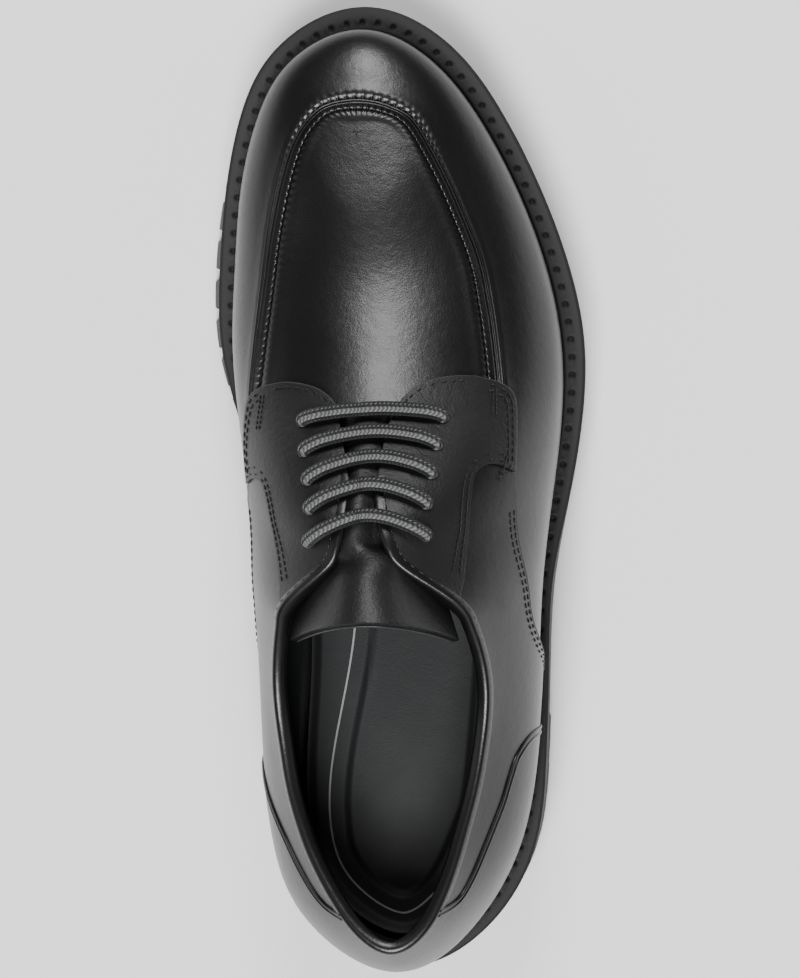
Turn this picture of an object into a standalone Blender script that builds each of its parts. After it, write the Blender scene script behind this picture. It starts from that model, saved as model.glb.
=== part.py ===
"""Lug sole derby shoe with an apron toe, for the right foot.

Metres, +Z up, +Y towards the toe and +X towards the outer (lateral) side. The origin is on the floor,
at the centre of the bounding box. The upper is one hollow wall through sections of the last: each
section runs from the feather, where upper and sole meet, over the widest point to the topline. The
overlays, welt, sole, insole and tongue all take their shape from that same wall.
"""

import math

import bmesh
import bpy
import numpy as np
from mathutils import Vector

# Last and upper
UPPER_LENGTH = 0.2945
BALL_WIDTH = 0.1050
INSTEP_RISE = 0.0825
GIRTH_RISE = 0.0220
FEATHER_TUCK = 0.0050
UPPER_WALL = 0.0024
OVERLAY_THICKNESS = 0.0011
THROAT_WIDTH = 0.0090
CLEARANCE = 0.0003
PANEL_GAP = 0.0004

# Sole
HEEL_SEAT_HEIGHT = 0.0340
FOREPART_HEIGHT = 0.0220
TOE_SPRING = 0.0125
WELT_WIDTH = 0.0080
WELT_THICKNESS = 0.0034
SOLE_SIDE_STEP = 0.0014
SOLE_SIDE_GROOVE = 0.0016
LUG_FLARE = 0.0026
LUG_PITCH = 0.0130
LUG_GAP = 0.0036
LUG_NOTCH = 0.0018
TREAD_DEPTH = 0.0045
TREAD_RIM = 0.0150
HEEL_LENGTH = 0.0760
HEEL_HEIGHT = 0.0220

# Trim
FOOTBED_THICKNESS = 0.0040
TONGUE_THICKNESS = 0.0026
APRON_SEAM_WIDTH = 0.0042
APRON_SEAM_HEIGHT = 0.0015
LACE_DIAMETER = 0.0048
LACE_BOW = 0.0025
EYELET_DIAMETER = 0.0060

# Closeness of the meshes
STEPS_PER_STATION = 3
LOW_ANGLE = math.radians(62)
SMALL = 1e-3

# Shares of the upper's length along, of the ball's width to each side, of the heel's rise in the seat,
# of the toe spring, of the girth's rise over the seat, of the tuck at the feather, of the welt's width
# and of the lugs' flare, from the back of the heel to the tip of the toe.
LAST = (
    # row, along, lateral, medial, seat, spring, girth, tuck and welt and flare, each lateral and medial
    ("heel back", 0.000, 0.005, 0.005, 1.00, 0.00, 0.95, 1.0, 1.0, 0.35, 0.35, 0.0, 0.0),
    ("heel turn", 0.051, 0.230, -0.253, 1.00, 0.00, 0.95, 1.0, 1.0, 0.72, 0.42, 0.0, 0.0),
    ("heel side", 0.131, 0.354, -0.355, 0.96, 0.00, 0.93, 1.1, 1.1, 0.72, 0.36, 0.0, 0.0),
    ("counter", 0.218, 0.402, -0.387, 0.88, 0.00, 0.93, 1.2, 1.5, 0.46, 0.28, 0.0, 0.0),
    ("waist back", 0.313, 0.421, -0.400, 0.67, 0.00, 1.00, 1.2, 2.0, 0.30, 0.00, 0.0, 0.0),
    ("waist", 0.405, 0.432, -0.421, 0.42, 0.00, 1.04, 1.1, 2.2, 0.28, -0.35, 0.0, 0.0),
    ("instep", 0.493, 0.458, -0.452, 0.21, 0.00, 0.98, 1.0, 1.8, 0.55, -0.15, -0.3, 0.2),
    ("ball back", 0.575, 0.484, -0.486, 0.04, 0.00, 0.89, 0.8, 1.1, 0.72, 0.35, -0.5, 0.7),
    ("ball", 0.660, 0.484, -0.514, 0.00, 0.00, 0.73, 0.7, 0.8, 0.85, 0.85, -0.55, 1.1),
    ("ball front", 0.745, 0.437, -0.511, 0.00, 0.04, 0.61, 0.7, 0.7, 0.85, 1.00, -0.55, 1.3),
    ("toe back", 0.830, 0.348, -0.492, 0.00, 0.16, 0.59, 0.7, 0.7, 0.85, 0.95, -0.5, 1.1),
    ("toe side", 0.908, 0.231, -0.438, 0.00, 0.40, 0.55, 0.7, 0.7, 0.90, 0.95, -0.3, 0.5),
    ("toe turn", 0.969, 0.086, -0.329, 0.00, 0.64, 0.55, 0.7, 0.7, 1.00, 1.00, 0.0, 0.1),
    ("toe tip", 1.000, -0.120, -0.120, 0.00, 0.80, 0.55, 0.7, 0.7, 1.05, 1.05, 0.0, 0.0),
)
# Shares of the upper's length along, of the ball's width across and of the instep's rise over the seat;
# the half width as a share of the ball's width in the collar, and of the throat in front of it; the
# angle at which the wall closes, and how full it is on each side, at the same stations as above.
TOPLINE = (
    # row, along, centre, collar half, throat half, rise, closing angle, full lateral, full medial
    ("heel back", 0.036, 0.019, 0.000, 0.0, 0.800, 30, 0.40, 0.40),
    ("heel turn", 0.073, 0.011, 0.129, 0.0, 0.770, 33, 0.40, 0.40),
    ("heel side", 0.146, -0.010, 0.222, 0.0, 0.709, 36, 0.41, 0.41),
    ("counter", 0.221, -0.015, 0.276, 0.0, 0.679, 38, 0.42, 0.42),
    ("waist back", 0.299, -0.017, 0.300, 0.0, 0.727, 38, 0.42, 0.42),
    ("waist", 0.372, -0.029, 0.268, 0.0, 0.873, 34, 0.42, 0.43),
    ("throat end", 0.439, -0.053, 0.035, 1.0, 1.000, 14, 0.43, 0.47),
    ("throat", 0.507, -0.063, 0.000, 1.0, 0.927, 0, 0.44, 0.48),
    ("throat front", 0.582, -0.062, 0.000, 0.0, 0.776, 0, 0.44, 0.48),
    ("vamp back", 0.660, -0.071, 0.000, 0.0, 0.648, 0, 0.45, 0.49),
    ("vamp", 0.731, -0.086, 0.000, 0.0, 0.545, 0, 0.48, 0.51),
    ("vamp front", 0.793, -0.100, 0.000, 0.0, 0.465, 0, 0.51, 0.53),
    ("toe box", 0.840, -0.112, 0.000, 0.0, 0.395, 0, 0.54, 0.55),
    ("toe top", 0.881, -0.118, 0.000, 0.0, 0.340, 0, 0.55, 0.55),
)
HALF = len(LAST) - 1
STATIONS = 2 * HALF
LAST_COLUMNS = np.array([row[1:] for row in LAST]).T
TOP_COLUMNS = np.array([row[1:] for row in TOPLINE]).T
THROAT_END_STATION = 6
THROAT_END_SHARE = TOPLINE[THROAT_END_STATION][1] + 0.008
RIDGE_END = 0.3


# Curves
def around(lateral, medial):
    """Values at each station around the foot: up the lateral side, then back down the medial one."""
    return np.concatenate([lateral, medial[-2:0:-1]])


def smooth_loop(values):
    """A smooth closed curve through one value per station, as a function of the station."""
    count = len(values)
    system = 4 * np.eye(count) + np.roll(np.eye(count), 1, axis=1) + np.roll(np.eye(count), -1, axis=1)
    bend = np.linalg.solve(system, 6 * (np.roll(values, -1) - 2 * values + np.roll(values, 1)))

    def value(station):
        here = np.floor(station).astype(int) % count
        after = (here + 1) % count
        u = station - np.floor(station)
        straight = (values[here] - bend[here] / 6) * (1 - u) + (values[after] - bend[after] / 6) * u
        return straight + (bend[here] * (1 - u) ** 3 + bend[after] * u**3) / 6

    return value


def even_curve(values):
    """A curve through one value per station that never overshoots, as a function of the half loop."""
    step = np.diff(values)
    slope = np.zeros(len(values))
    slope[0] = step[0]
    same_way = step[:-1] * step[1:] > 0
    total = np.where(same_way, step[:-1] + step[1:], 1)
    slope[1:-1] = np.where(same_way, 2 * step[:-1] * step[1:] / total, 0)

    def value(half):
        here = np.clip(np.floor(half).astype(int), 0, len(values) - 2)
        u = half - here
        start = (1 + 2 * u) * (1 - u) ** 2 * values[here] + u * (1 - u) ** 2 * slope[here]
        return start + u**2 * (3 - 2 * u) * values[here + 1] + u**2 * (u - 1) * slope[here + 1]

    return value


def along(share):
    return (share - 0.5) * UPPER_LENGTH


seat_shares = smooth_loop(around(LAST_COLUMNS[3], LAST_COLUMNS[3]))
spring_shares = smooth_loop(around(LAST_COLUMNS[4], LAST_COLUMNS[4]))
wide_x = smooth_loop(around(LAST_COLUMNS[1], LAST_COLUMNS[2]) * BALL_WIDTH)
wide_y = smooth_loop(along(around(LAST_COLUMNS[0], LAST_COLUMNS[0])))
girth_rise = smooth_loop(around(LAST_COLUMNS[5], LAST_COLUMNS[5]) * GIRTH_RISE)
tuck = smooth_loop(around(LAST_COLUMNS[6], LAST_COLUMNS[7]) * FEATHER_TUCK)
welt_reach = smooth_loop(around(LAST_COLUMNS[8], LAST_COLUMNS[9]) * WELT_WIDTH)
lug_flare = smooth_loop(around(LAST_COLUMNS[10], LAST_COLUMNS[11]) * LUG_FLARE)
top_y = smooth_loop(along(around(TOP_COLUMNS[0], TOP_COLUMNS[0])))
top_centre = smooth_loop(around(TOP_COLUMNS[1], TOP_COLUMNS[1]) * BALL_WIDTH)
collar_half = even_curve(TOP_COLUMNS[2] * BALL_WIDTH)
throat_half = even_curve(TOP_COLUMNS[3] * THROAT_WIDTH / 2)
top_rise = smooth_loop(around(TOP_COLUMNS[4], TOP_COLUMNS[4]) * INSTEP_RISE)
closing = smooth_loop(np.radians(around(TOP_COLUMNS[5], TOP_COLUMNS[5])))
fullness = smooth_loop(around(TOP_COLUMNS[6], TOP_COLUMNS[7]))


def seat_height(station):
    """Top of the sole, where the upper stands on it."""
    rise = (HEEL_SEAT_HEIGHT - FOREPART_HEIGHT) * seat_shares(station)
    return FOREPART_HEIGHT + rise + TOE_SPRING * spring_shares(station)


SEAT_STATIONS = np.linspace(0, HALF, 261)
SEAT_Y = wide_y(SEAT_STATIONS)
SEAT_Z = seat_height(SEAT_STATIONS)


def seat_at(y):
    return np.interp(y, SEAT_Y, SEAT_Z)


def widest(station):
    height = seat_height(station) + girth_rise(station)
    return np.stack([wide_x(station), wide_y(station), height], -1)


def outward(station):
    """Level direction away from the foot, square to the widest line."""
    run = widest(station + SMALL) - widest(station - SMALL)
    level = np.stack([run[..., 1], -run[..., 0], 0 * run[..., 0]], -1)
    return level / np.linalg.norm(level, axis=-1, keepdims=True)


def feather(station):
    foot = widest(station) - outward(station) * tuck(station)[..., None]
    foot[..., 2] = seat_height(station) + CLEARANCE
    return foot


def topline(station):
    folded = station % STATIONS
    half = np.minimum(folded, STATIONS - folded)
    side = np.where(folded <= HALF, 1, -1)
    x = top_centre(station) + side * (collar_half(half) + throat_half(half))
    return np.stack([x, top_y(station), seat_height(station) + top_rise(station)], -1)


def ridge_slope(station):
    """Rise per length of the topline in front of the collar, where both sides meet over the foot."""
    folded = station % STATIONS
    half = np.minimum(folded, STATIONS - folded)
    here = np.clip(half, THROAT_END_STATION, HALF - RIDGE_END)
    run = topline(here + SMALL) - topline(here - SMALL)
    return run[..., 2] / run[..., 1] * np.clip((half - THROAT_END_STATION) / 1.5, 0, 1)


def wall(station, level):
    """Outer face of the upper: level -1 at the feather, 0 at the widest point and 1 at the topline."""
    station, level = np.broadcast_arrays(np.asarray(station, float), np.asarray(level, float))
    wide, foot, top = widest(station), feather(station), topline(station)
    angle = np.clip(-level, 0, 1) * LOW_ANGLE
    inward = ((1 - np.cos(angle)) / (1 - math.cos(LOW_ANGLE)))[..., None]
    down = (np.sin(angle) / math.sin(LOW_ANGLE))[..., None]
    low = wide + (foot - wide) * np.concatenate([inward, inward, down], -1)
    v = np.clip(level, 0, 1)[..., None]
    span = top - wide
    full = fullness(station)[..., None]
    close = closing(station)[..., None]
    lower = wide + full * span * np.array([0, 0, 1])
    back = full * span * np.concatenate([np.cos(close), np.cos(close), np.sin(close)], -1)
    upper = top - back
    upper[..., 2] -= ridge_slope(station) * back[..., 1] * np.cos(close[..., 0])
    high = (1 - v) ** 3 * wide + 3 * (1 - v) ** 2 * v * lower + 3 * (1 - v) * v**2 * upper + v**3 * top
    return np.where(level[..., None] < 0, low, high)


def wall_normal(station, level):
    station, level = np.broadcast_arrays(np.asarray(station, float), np.asarray(level, float))
    ahead = wall(station + SMALL, level) - wall(station - SMALL, level)
    up = wall(station, np.clip(level + SMALL, -1, 1)) - wall(station, np.clip(level - SMALL, -1, 1))
    normal = np.cross(ahead, up)
    return normal / np.linalg.norm(normal, axis=-1, keepdims=True)


def level_at_height(station, height):
    """Level below the widest point at which the wall reaches a height."""
    wide = widest(station)[..., 2]
    foot = feather(station)[..., 2]
    down = np.clip((wide - height) / (wide - foot), 0, 1)
    return -np.arcsin(down * math.sin(LOW_ANGLE)) / LOW_ANGLE


def find_on_wall(x, y):
    """Station and level of the upper's face over each point of the plan."""
    stations, levels = np.meshgrid(np.linspace(0, STATIONS, 625)[:-1], np.linspace(0, 1, 61), indexing="ij")
    points = wall(stations, levels)
    found = []
    for px, py in zip(np.atleast_1d(x), np.atleast_1d(y)):
        distance = (points[..., 0] - px) ** 2 + (points[..., 1] - py) ** 2
        best = np.unravel_index(np.argmin(distance), distance.shape)
        guess = np.array([stations[best], levels[best]])
        for _ in range(4):
            here = wall(*guess)[:2] - (px, py)
            run = wall(guess[0] + SMALL, guess[1])[:2] - wall(guess[0] - SMALL, guess[1])[:2]
            slope_s = run / (2 * SMALL)
            upper_level = min(guess[1] + SMALL, 1)
            lower_level = max(guess[1] - SMALL, 0)
            rise = wall(guess[0], upper_level)[:2] - wall(guess[0], lower_level)[:2]
            slope_l = rise / (upper_level - lower_level)
            step = np.linalg.lstsq(np.stack([slope_s, slope_l], 1), here, rcond=None)[0]
            guess = guess - np.clip(step, -0.3, 0.3)
            guess[1] = min(max(guess[1], 0.0), 1.0)
        found.append(guess)
    found = np.array(found)
    return found[:, 0], found[:, 1]


# Outlines
def curve_through(points, per_span=4):
    """Points of a smooth open curve through the given ones."""
    points = np.asarray(points, float)
    ends = np.vstack([2 * points[0] - points[1], points, 2 * points[-1] - points[-2]])
    spans = []
    for i in range(len(points) - 1):
        a, b, c, d = ends[i : i + 4]
        u = (np.arange(per_span) / per_span)[:, None]
        bent = 2 * b + (c - a) * u + (2 * a - 5 * b + 4 * c - d) * u**2 + (3 * b - a - 3 * c + d) * u**3
        spans.append(bent / 2)
    return np.vstack(spans + [points[-1:]])


def in_plan(shares):
    """Plan positions of (along, across) shares."""
    shares = np.asarray(shares, float)
    return np.stack([shares[:, 1] * BALL_WIDTH, along(shares[:, 0])], 1)


def in_side(shares):
    """Side view positions, (y, z), of (along, rise over the seat) shares."""
    shares = np.asarray(shares, float)
    y = along(shares[:, 0])
    return np.stack([y, seat_at(y) + shares[:, 1] * INSTEP_RISE], 1)


# Meshes
def new_object(name, mesh, collection):
    obj = bpy.data.objects.new(name, mesh)
    collection.objects.link(obj)
    return obj


def finish_mesh(bm, name, collection):
    bmesh.ops.recalc_face_normals(bm, faces=bm.faces)
    mesh = bpy.data.meshes.new(name)
    bm.to_mesh(mesh)
    bm.free()
    return new_object(name, mesh, collection)


def grid_faces(bm, grid, closed=False):
    """Faces between neighbouring points of a 2-D grid of vertices."""
    rows = len(grid)
    for i in range(rows if closed else rows - 1):
        here, after = grid[i], grid[(i + 1) % rows]
        for j in range(len(here) - 1):
            corners = [here[j], after[j], after[j + 1], here[j + 1]]
            corners = list(dict.fromkeys(corners))
            if len(corners) > 2:
                bm.faces.new(corners)


def vertices_of(bm, points):
    return [[bm.verts.new(point) for point in row] for row in points]


def ring_solid(name, sections, collection):
    """A closed solid from a loop of sections, each itself a closed outline."""
    bm = bmesh.new()
    grid = vertices_of(bm, sections)
    grid_faces(bm, [row + row[:1] for row in grid], closed=True)
    return finish_mesh(bm, name, collection)


def stacked_solid(name, rings, collection):
    """A closed solid from closed rings, one above the other, with a face over the first and the last."""
    bm = bmesh.new()
    grid = vertices_of(bm, rings)
    grid_faces(bm, [list(column) for column in zip(*grid)], closed=True)
    bm.faces.new(grid[0])
    bm.faces.new(grid[-1])
    return finish_mesh(bm, name, collection)


def sheet_solid(name, outer, inner, collection):
    """A closed solid between two matching grids of points."""
    bm = bmesh.new()
    faces = [vertices_of(bm, outer), vertices_of(bm, inner)]
    for grid in faces:
        grid_faces(bm, grid)
    top, bottom = faces
    for end in (0, -1):
        grid_faces(bm, [top[end], bottom[end]])
        grid_faces(bm, [[row[end] for row in top], [row[end] for row in bottom]])
    return finish_mesh(bm, name, collection)


def prism(name, outline, axis, low, high, collection):
    """An outline carried straight along X ("side", from y and z) or Z ("plan", from x and y)."""
    bm = bmesh.new()
    if axis == "side":
        corners = [bm.verts.new((low, y, z)) for y, z in outline]
        travel = Vector((high - low, 0, 0))
    else:
        corners = [bm.verts.new((x, y, low)) for x, y in outline]
        travel = Vector((0, 0, high - low))
    face = bm.faces.new(corners)
    made = bmesh.ops.extrude_face_region(bm, geom=[face])
    moved = [item for item in made["geom"] if isinstance(item, bmesh.types.BMVert)]
    bmesh.ops.translate(bm, verts=moved, vec=travel)
    return finish_mesh(bm, name, collection)


def boolean(obj, operation, cutter, crossing=False):
    """Cuts with or keeps inside a cutter; crossing is for one whose own pieces may meet each other."""
    modifier = obj.modifiers.new(cutter.name, "BOOLEAN")
    modifier.operation = operation
    modifier.object = cutter
    modifier.use_self = crossing
    cutter.hide_render = True
    cutter.display_type = "WIRE"


def join_meshes(name, objects, collection):
    """One mesh of several separate closed ones."""
    bm = bmesh.new()
    for obj in objects:
        bm.from_mesh(obj.data)
        bpy.data.objects.remove(obj)
    return finish_mesh(bm, name, collection)


def smooth_shading(obj):
    obj.data.shade_smooth()
    obj.data.set_sharp_from_angle(angle=math.radians(35))


def principled(name, colour, roughness):
    material = bpy.data.materials.new(name)
    material.use_nodes = True
    shader = material.node_tree.nodes["Principled BSDF"]
    shader.inputs["Base Color"].default_value = (*colour, 1)
    shader.inputs["Roughness"].default_value = roughness
    shader.inputs["Metallic"].default_value = 0
    return material


# Upper
UPPER_LEVELS = (-1, -0.5, 0, 0.17, 0.34, 0.5, 0.66, 0.82, 1)


def columns(first, last):
    """Stations of the upper's columns from one station to another."""
    count = round((last - first) * STEPS_PER_STATION)
    return first + np.arange(count + 1) / STEPS_PER_STATION


def upper(collection):
    stations = columns(0, STATIONS)[:-1]
    points = wall(stations[:, None], np.array(UPPER_LEVELS)[None, :])
    bm = bmesh.new()
    grid = vertices_of(bm, points)
    grid_faces(bm, grid, closed=True)
    bmesh.ops.remove_doubles(bm, verts=bm.verts, dist=1e-6)
    obj = finish_mesh(bm, "upper", collection)
    modifier = obj.modifiers.new("wall", "SOLIDIFY")
    modifier.thickness = UPPER_WALL
    modifier.offset = -1
    modifier.use_even_offset = True
    return obj


# Overlays
def overlay_layer(name, first, last, top_level, lift, collection):
    """The wall's own shape again, one overlay thicker, over some of its stations."""
    stations = columns(first, last)
    clear = seat_height(stations) + WELT_THICKNESS + OVERLAY_THICKNESS + 2 * CLEARANCE
    bottom = level_at_height(stations, clear)[:, None]
    ladder = [level for level in UPPER_LEVELS if 0 <= level < top_level] + [top_level]
    above = np.broadcast_to(ladder, (len(stations), len(ladder)))
    levels = np.concatenate([bottom, bottom / 2, above], 1)
    points = wall(stations[:, None], levels)
    normals = wall_normal(stations[:, None], levels)
    inner = points + normals * lift
    outer = inner + normals * OVERLAY_THICKNESS
    return sheet_solid(name, outer, inner, collection)


# Shares along and across of the front edge of each facing, then along its side seam and the
# eyestay seam to the collar.
FACING_FRONT = {
    "lateral": (
        (0.480, -0.035),
        (0.510, -0.018),
        (0.545, -0.010),
        (0.575, 0.008),
        (0.595, 0.036),
        (0.609, 0.075),
        (0.617, 0.120),
        (0.621, 0.180),
    ),
    "medial": (
        (0.480, -0.085),
        (0.510, -0.108),
        (0.545, -0.126),
        (0.575, -0.141),
        (0.593, -0.158),
        (0.605, -0.195),
        (0.611, -0.235),
        (0.615, -0.300),
    ),
}
FACING_SIDE = {
    "lateral": ((0.621, 0.240), (0.614, 0.310), (0.600, 0.348), (0.565, 0.354), (0.523, 0.351)),
    "medial": ((0.612, -0.366), (0.606, -0.402), (0.594, -0.422), (0.555, -0.428), (0.512, -0.416)),
}
EYESTAY_SEAM = {
    "lateral": (
        (0.523, 0.351),
        (0.530, 0.300),
        (0.526, 0.262),
        (0.512, 0.240),
        (0.460, 0.226),
        (0.410, 0.215),
        (0.340, 0.216),
    ),
    "medial": (
        (0.512, -0.416),
        (0.517, -0.390),
        (0.512, -0.360),
        (0.495, -0.340),
        (0.450, -0.313),
        (0.400, -0.290),
        (0.340, -0.275),
    ),
}
THROAT_MIDDLE = -0.060
# Shares along and rise of the quarter's front edge below the facing, and of the counter's edge.
QUARTER_FRONT = (
    (0.523, 0.660),
    (0.495, 0.643),
    (0.445, 0.600),
    (0.400, 0.535),
    (0.368, 0.470),
    (0.343, 0.355),
    (0.325, 0.200),
    (0.315, 0.000),
)
COUNTER_EDGE = {
    "lateral": (
        (0.252, 0.000),
        (0.254, 0.200),
        (0.249, 0.384),
        (0.231, 0.478),
        (0.209, 0.511),
        (0.182, 0.534),
        (0.154, 0.567),
        (0.128, 0.598),
        (0.104, 0.625),
        (0.087, 0.655),
        (0.079, 0.710),
        (0.076, 0.800),
    ),
    "medial": (
        (0.222, 0.000),
        (0.223, 0.200),
        (0.212, 0.320),
        (0.178, 0.451),
        (0.147, 0.551),
        (0.118, 0.612),
        (0.094, 0.652),
        (0.080, 0.690),
        (0.073, 0.740),
        (0.070, 0.800),
    ),
}
SIDES = {"lateral": (4.0, 8.67), "medial": (17.33, 22.0)}
QUARTER_SIDES = {"lateral": (0.67, 8.67), "medial": (17.33, 25.33)}
FACING_TOP_LEVEL = 1.0
FACING_LIFT = 0.0010
QUARTER_TOP_LEVEL = 0.97
COUNTER_STATIONS = (22, 30)
FACING_LOWEST = FOREPART_HEIGHT + GIRTH_RISE
FAR = 0.2


def facing_outline(side):
    front = curve_through(in_plan(FACING_FRONT[side] + FACING_SIDE[side][:1]))
    outer = curve_through(in_plan(FACING_SIDE[side]))
    seam = curve_through(in_plan(EYESTAY_SEAM[side]))
    back, front_end = EYESTAY_SEAM[side][-1][0], FACING_FRONT[side][0][0]
    middle = in_plan(((back, THROAT_MIDDLE), (front_end, THROAT_MIDDLE)))
    return np.vstack([front[:-1], outer[:-1], seam, middle])


def grown(outline, by):
    """An outline moved outwards by a small distance."""
    ahead = np.roll(outline, -1, axis=0) - np.roll(outline, 1, axis=0)
    square = np.stack([ahead[:, 1], -ahead[:, 0]], 1)
    square /= np.linalg.norm(square, axis=1, keepdims=True)
    after = np.roll(outline, -1, axis=0)
    area = (outline[:, 0] * after[:, 1] - outline[:, 1] * after[:, 0]).sum()
    return outline + square * by * np.sign(area)


def facing(side, parts, helpers, holes):
    first, last = SIDES[side]
    obj = overlay_layer(f"facing_{side}", first, last, FACING_TOP_LEVEL, FACING_LIFT, parts)
    shape = prism(f"facing_{side}_outline", facing_outline(side), "plan", FACING_LOWEST, FAR, helpers)
    boolean(obj, "INTERSECT", shape)
    boolean(obj, "DIFFERENCE", holes)
    return obj


def quarter(side, parts, helpers):
    first, last = QUARTER_SIDES[side]
    obj = overlay_layer(f"quarter_{side}", first, last, QUARTER_TOP_LEVEL, PANEL_GAP, parts)
    front = curve_through(in_side(QUARTER_FRONT))
    counter_edge = curve_through(in_side(COUNTER_EDGE[side]))
    counter_edge[:, 0] += PANEL_GAP
    above = in_side(((COUNTER_EDGE[side][-1][0], 2.0), (QUARTER_FRONT[0][0], 2.0)))
    outline = np.vstack([front, counter_edge, above])
    shape = prism(f"quarter_{side}_outline", outline, "side", -FAR, FAR, helpers)
    boolean(obj, "INTERSECT", shape)
    gap = prism(f"facing_{side}_seam", grown(facing_outline(side), PANEL_GAP), "plan", 0, FAR, helpers)
    boolean(obj, "DIFFERENCE", gap)
    return obj


# Counter
def counter(parts, helpers):
    first, last = COUNTER_STATIONS
    obj = overlay_layer("counter", first, last, QUARTER_TOP_LEVEL, PANEL_GAP, parts)
    for side, low, high in (("lateral", 0.0, FAR), ("medial", -FAR, 0.0)):
        front = curve_through(in_side(COUNTER_EDGE[side]))
        ahead = in_side(((0.1, 3.0), (1.0, 3.0), (1.0, -2.0)))
        below = np.array([[front[0, 0], ahead[-1, 1]]])
        shape = prism(f"counter_{side}_front", np.vstack([front, ahead, below]), "side", low, high, helpers)
        boolean(obj, "DIFFERENCE", shape)
    return obj


# Raised seam around the plug of the vamp, as shares along and across.
APRON_PATH = (
    (0.627, 0.300),
    (0.665, 0.286),
    (0.700, 0.270),
    (0.745, 0.243),
    (0.787, 0.199),
    (0.830, 0.147),
    (0.872, 0.086),
    (0.898, 0.037),
    (0.911, -0.028),
    (0.917, -0.106),
    (0.914, -0.190),
    (0.903, -0.245),
    (0.876, -0.298),
    (0.835, -0.335),
    (0.777, -0.367),
    (0.716, -0.387),
    (0.660, -0.405),
    (0.618, -0.417),
)


def apron_seam(parts):
    path = curve_through(in_plan(APRON_PATH), 2)
    stations, levels = find_on_wall(path[:, 0], path[:, 1])
    points = wall(stations, levels)
    normals = wall_normal(stations, levels)
    run = np.gradient(points, axis=0)
    across = np.cross(run, normals)
    across /= np.linalg.norm(across, axis=1, keepdims=True)
    low = points + normals * CLEARANCE * 1.5
    high = low + normals * APRON_SEAM_HEIGHT
    half = across * APRON_SEAM_WIDTH / 2
    outer = np.stack([low - half, high - half * 0.55, high + half * 0.55, low + half], 1)
    inner = np.stack([low - half * 0.9, low - half * 0.3, low + half * 0.3, low + half * 0.9], 1)
    sections = np.concatenate([outer, inner[:, ::-1][:, 1:-1]], 1)
    bm = bmesh.new()
    grid = vertices_of(bm, sections)
    grid_faces(bm, [row + row[:1] for row in grid])
    bm.faces.new(grid[0])
    bm.faces.new(grid[-1])
    return finish_mesh(bm, "apron_seam", parts)


# Eyelets, as shares along and across, from the toe end back.
EYELETS = {
    "lateral": ((0.585, 0.167), (0.562, 0.152), (0.535, 0.142), (0.504, 0.128), (0.470, 0.124)),
    "medial": ((0.582, -0.255), (0.555, -0.242), (0.529, -0.225), (0.500, -0.215), (0.465, -0.212)),
}
EYELET_SIDES = 10


def eyelet_axes(side):
    plan = in_plan(EYELETS[side])
    stations, levels = find_on_wall(plan[:, 0], plan[:, 1])
    return wall(stations, levels), wall_normal(stations, levels)


def eyelet_cutter(helpers):
    pins = []
    for side in EYELETS:
        for place, normal in zip(*eyelet_axes(side)):
            bm = bmesh.new()
            radius = EYELET_DIAMETER / 2
            bmesh.ops.create_cone(
                bm, cap_ends=True, segments=EYELET_SIDES, radius1=radius, radius2=radius, depth=5 * UPPER_WALL
            )
            turn = Vector((0, 0, 1)).rotation_difference(Vector(normal)).to_matrix().to_4x4()
            bmesh.ops.transform(bm, matrix=turn, verts=bm.verts)
            bmesh.ops.translate(bm, verts=bm.verts, vec=Vector(place))
            pins.append(finish_mesh(bm, "eyelet_pin", helpers))
    return join_meshes("eyelet_cutter", pins, helpers)


# Laces
def lace_bar(number, lateral, medial, parts):
    """A bar from one eyelet to the other: up out of the hole, over both facings and down again."""
    radius = LACE_DIAMETER / 2
    rest = FACING_LIFT + OVERLAY_THICKNESS + 2 * CLEARANCE + radius
    shares = np.linspace(0, 1, 11)[1:-1]
    start, end = lateral[0], medial[0]
    plan = start[:2] + (end - start)[:2] * shares[:, None]
    plan[:, 1] += LACE_BOW * np.sin(math.pi * shares)
    stations, levels = find_on_wall(plan[:, 0], plan[:, 1])
    over = wall(stations, levels) + wall_normal(stations, levels) * rest
    over[:, :2] = plan + wall_normal(stations, levels)[:, :2] * rest
    tips = []
    above = FACING_LIFT + OVERLAY_THICKNESS + radius / 2
    for place, normal in (lateral, medial):
        tips.append([place - normal * UPPER_WALL / 2, place + normal * above])
    path = np.vstack([tips[0], over, tips[1][::-1]])
    route = curve_through(path, 1)
    curve = bpy.data.curves.new(f"lace_bar_{number}", "CURVE")
    curve.dimensions = "3D"
    curve.bevel_depth = radius
    curve.bevel_resolution = 2
    curve.use_fill_caps = True
    spline = curve.splines.new("POLY")
    spline.points.add(len(route) - 1)
    spline.points.foreach_set("co", np.column_stack([route, np.ones(len(route))]).ravel())
    return new_object(curve.name, curve, parts)


def laces(parts):
    lateral = list(zip(*eyelet_axes("lateral")))
    medial = list(zip(*eyelet_axes("medial")))
    return [lace_bar(i + 1, a, b, parts) for i, (a, b) in enumerate(zip(lateral, medial))]


# Tongue, with its rows above the throat as shares along, centre across, half width, rise of the
# middle and rise of the sides.
TONGUE_FRONT = 0.600
TONGUE_UNDER_ROWS = 7
TONGUE_UNDER_HALF = 0.175
TONGUE_TOP = (
    (0.432, -0.048, 0.182, 1.01, 0.90),
    (0.412, -0.043, 0.196, 1.045, 0.89),
    (0.390, -0.036, 0.212, 1.080, 0.87),
    (0.368, -0.030, 0.226, 1.105, 0.855),
)
TONGUE_ACROSS = np.linspace(-1, 1, 9)
TONGUE_ROOM = 0.0015
TONGUE_EDGE_SLOPE = 1.4


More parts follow.
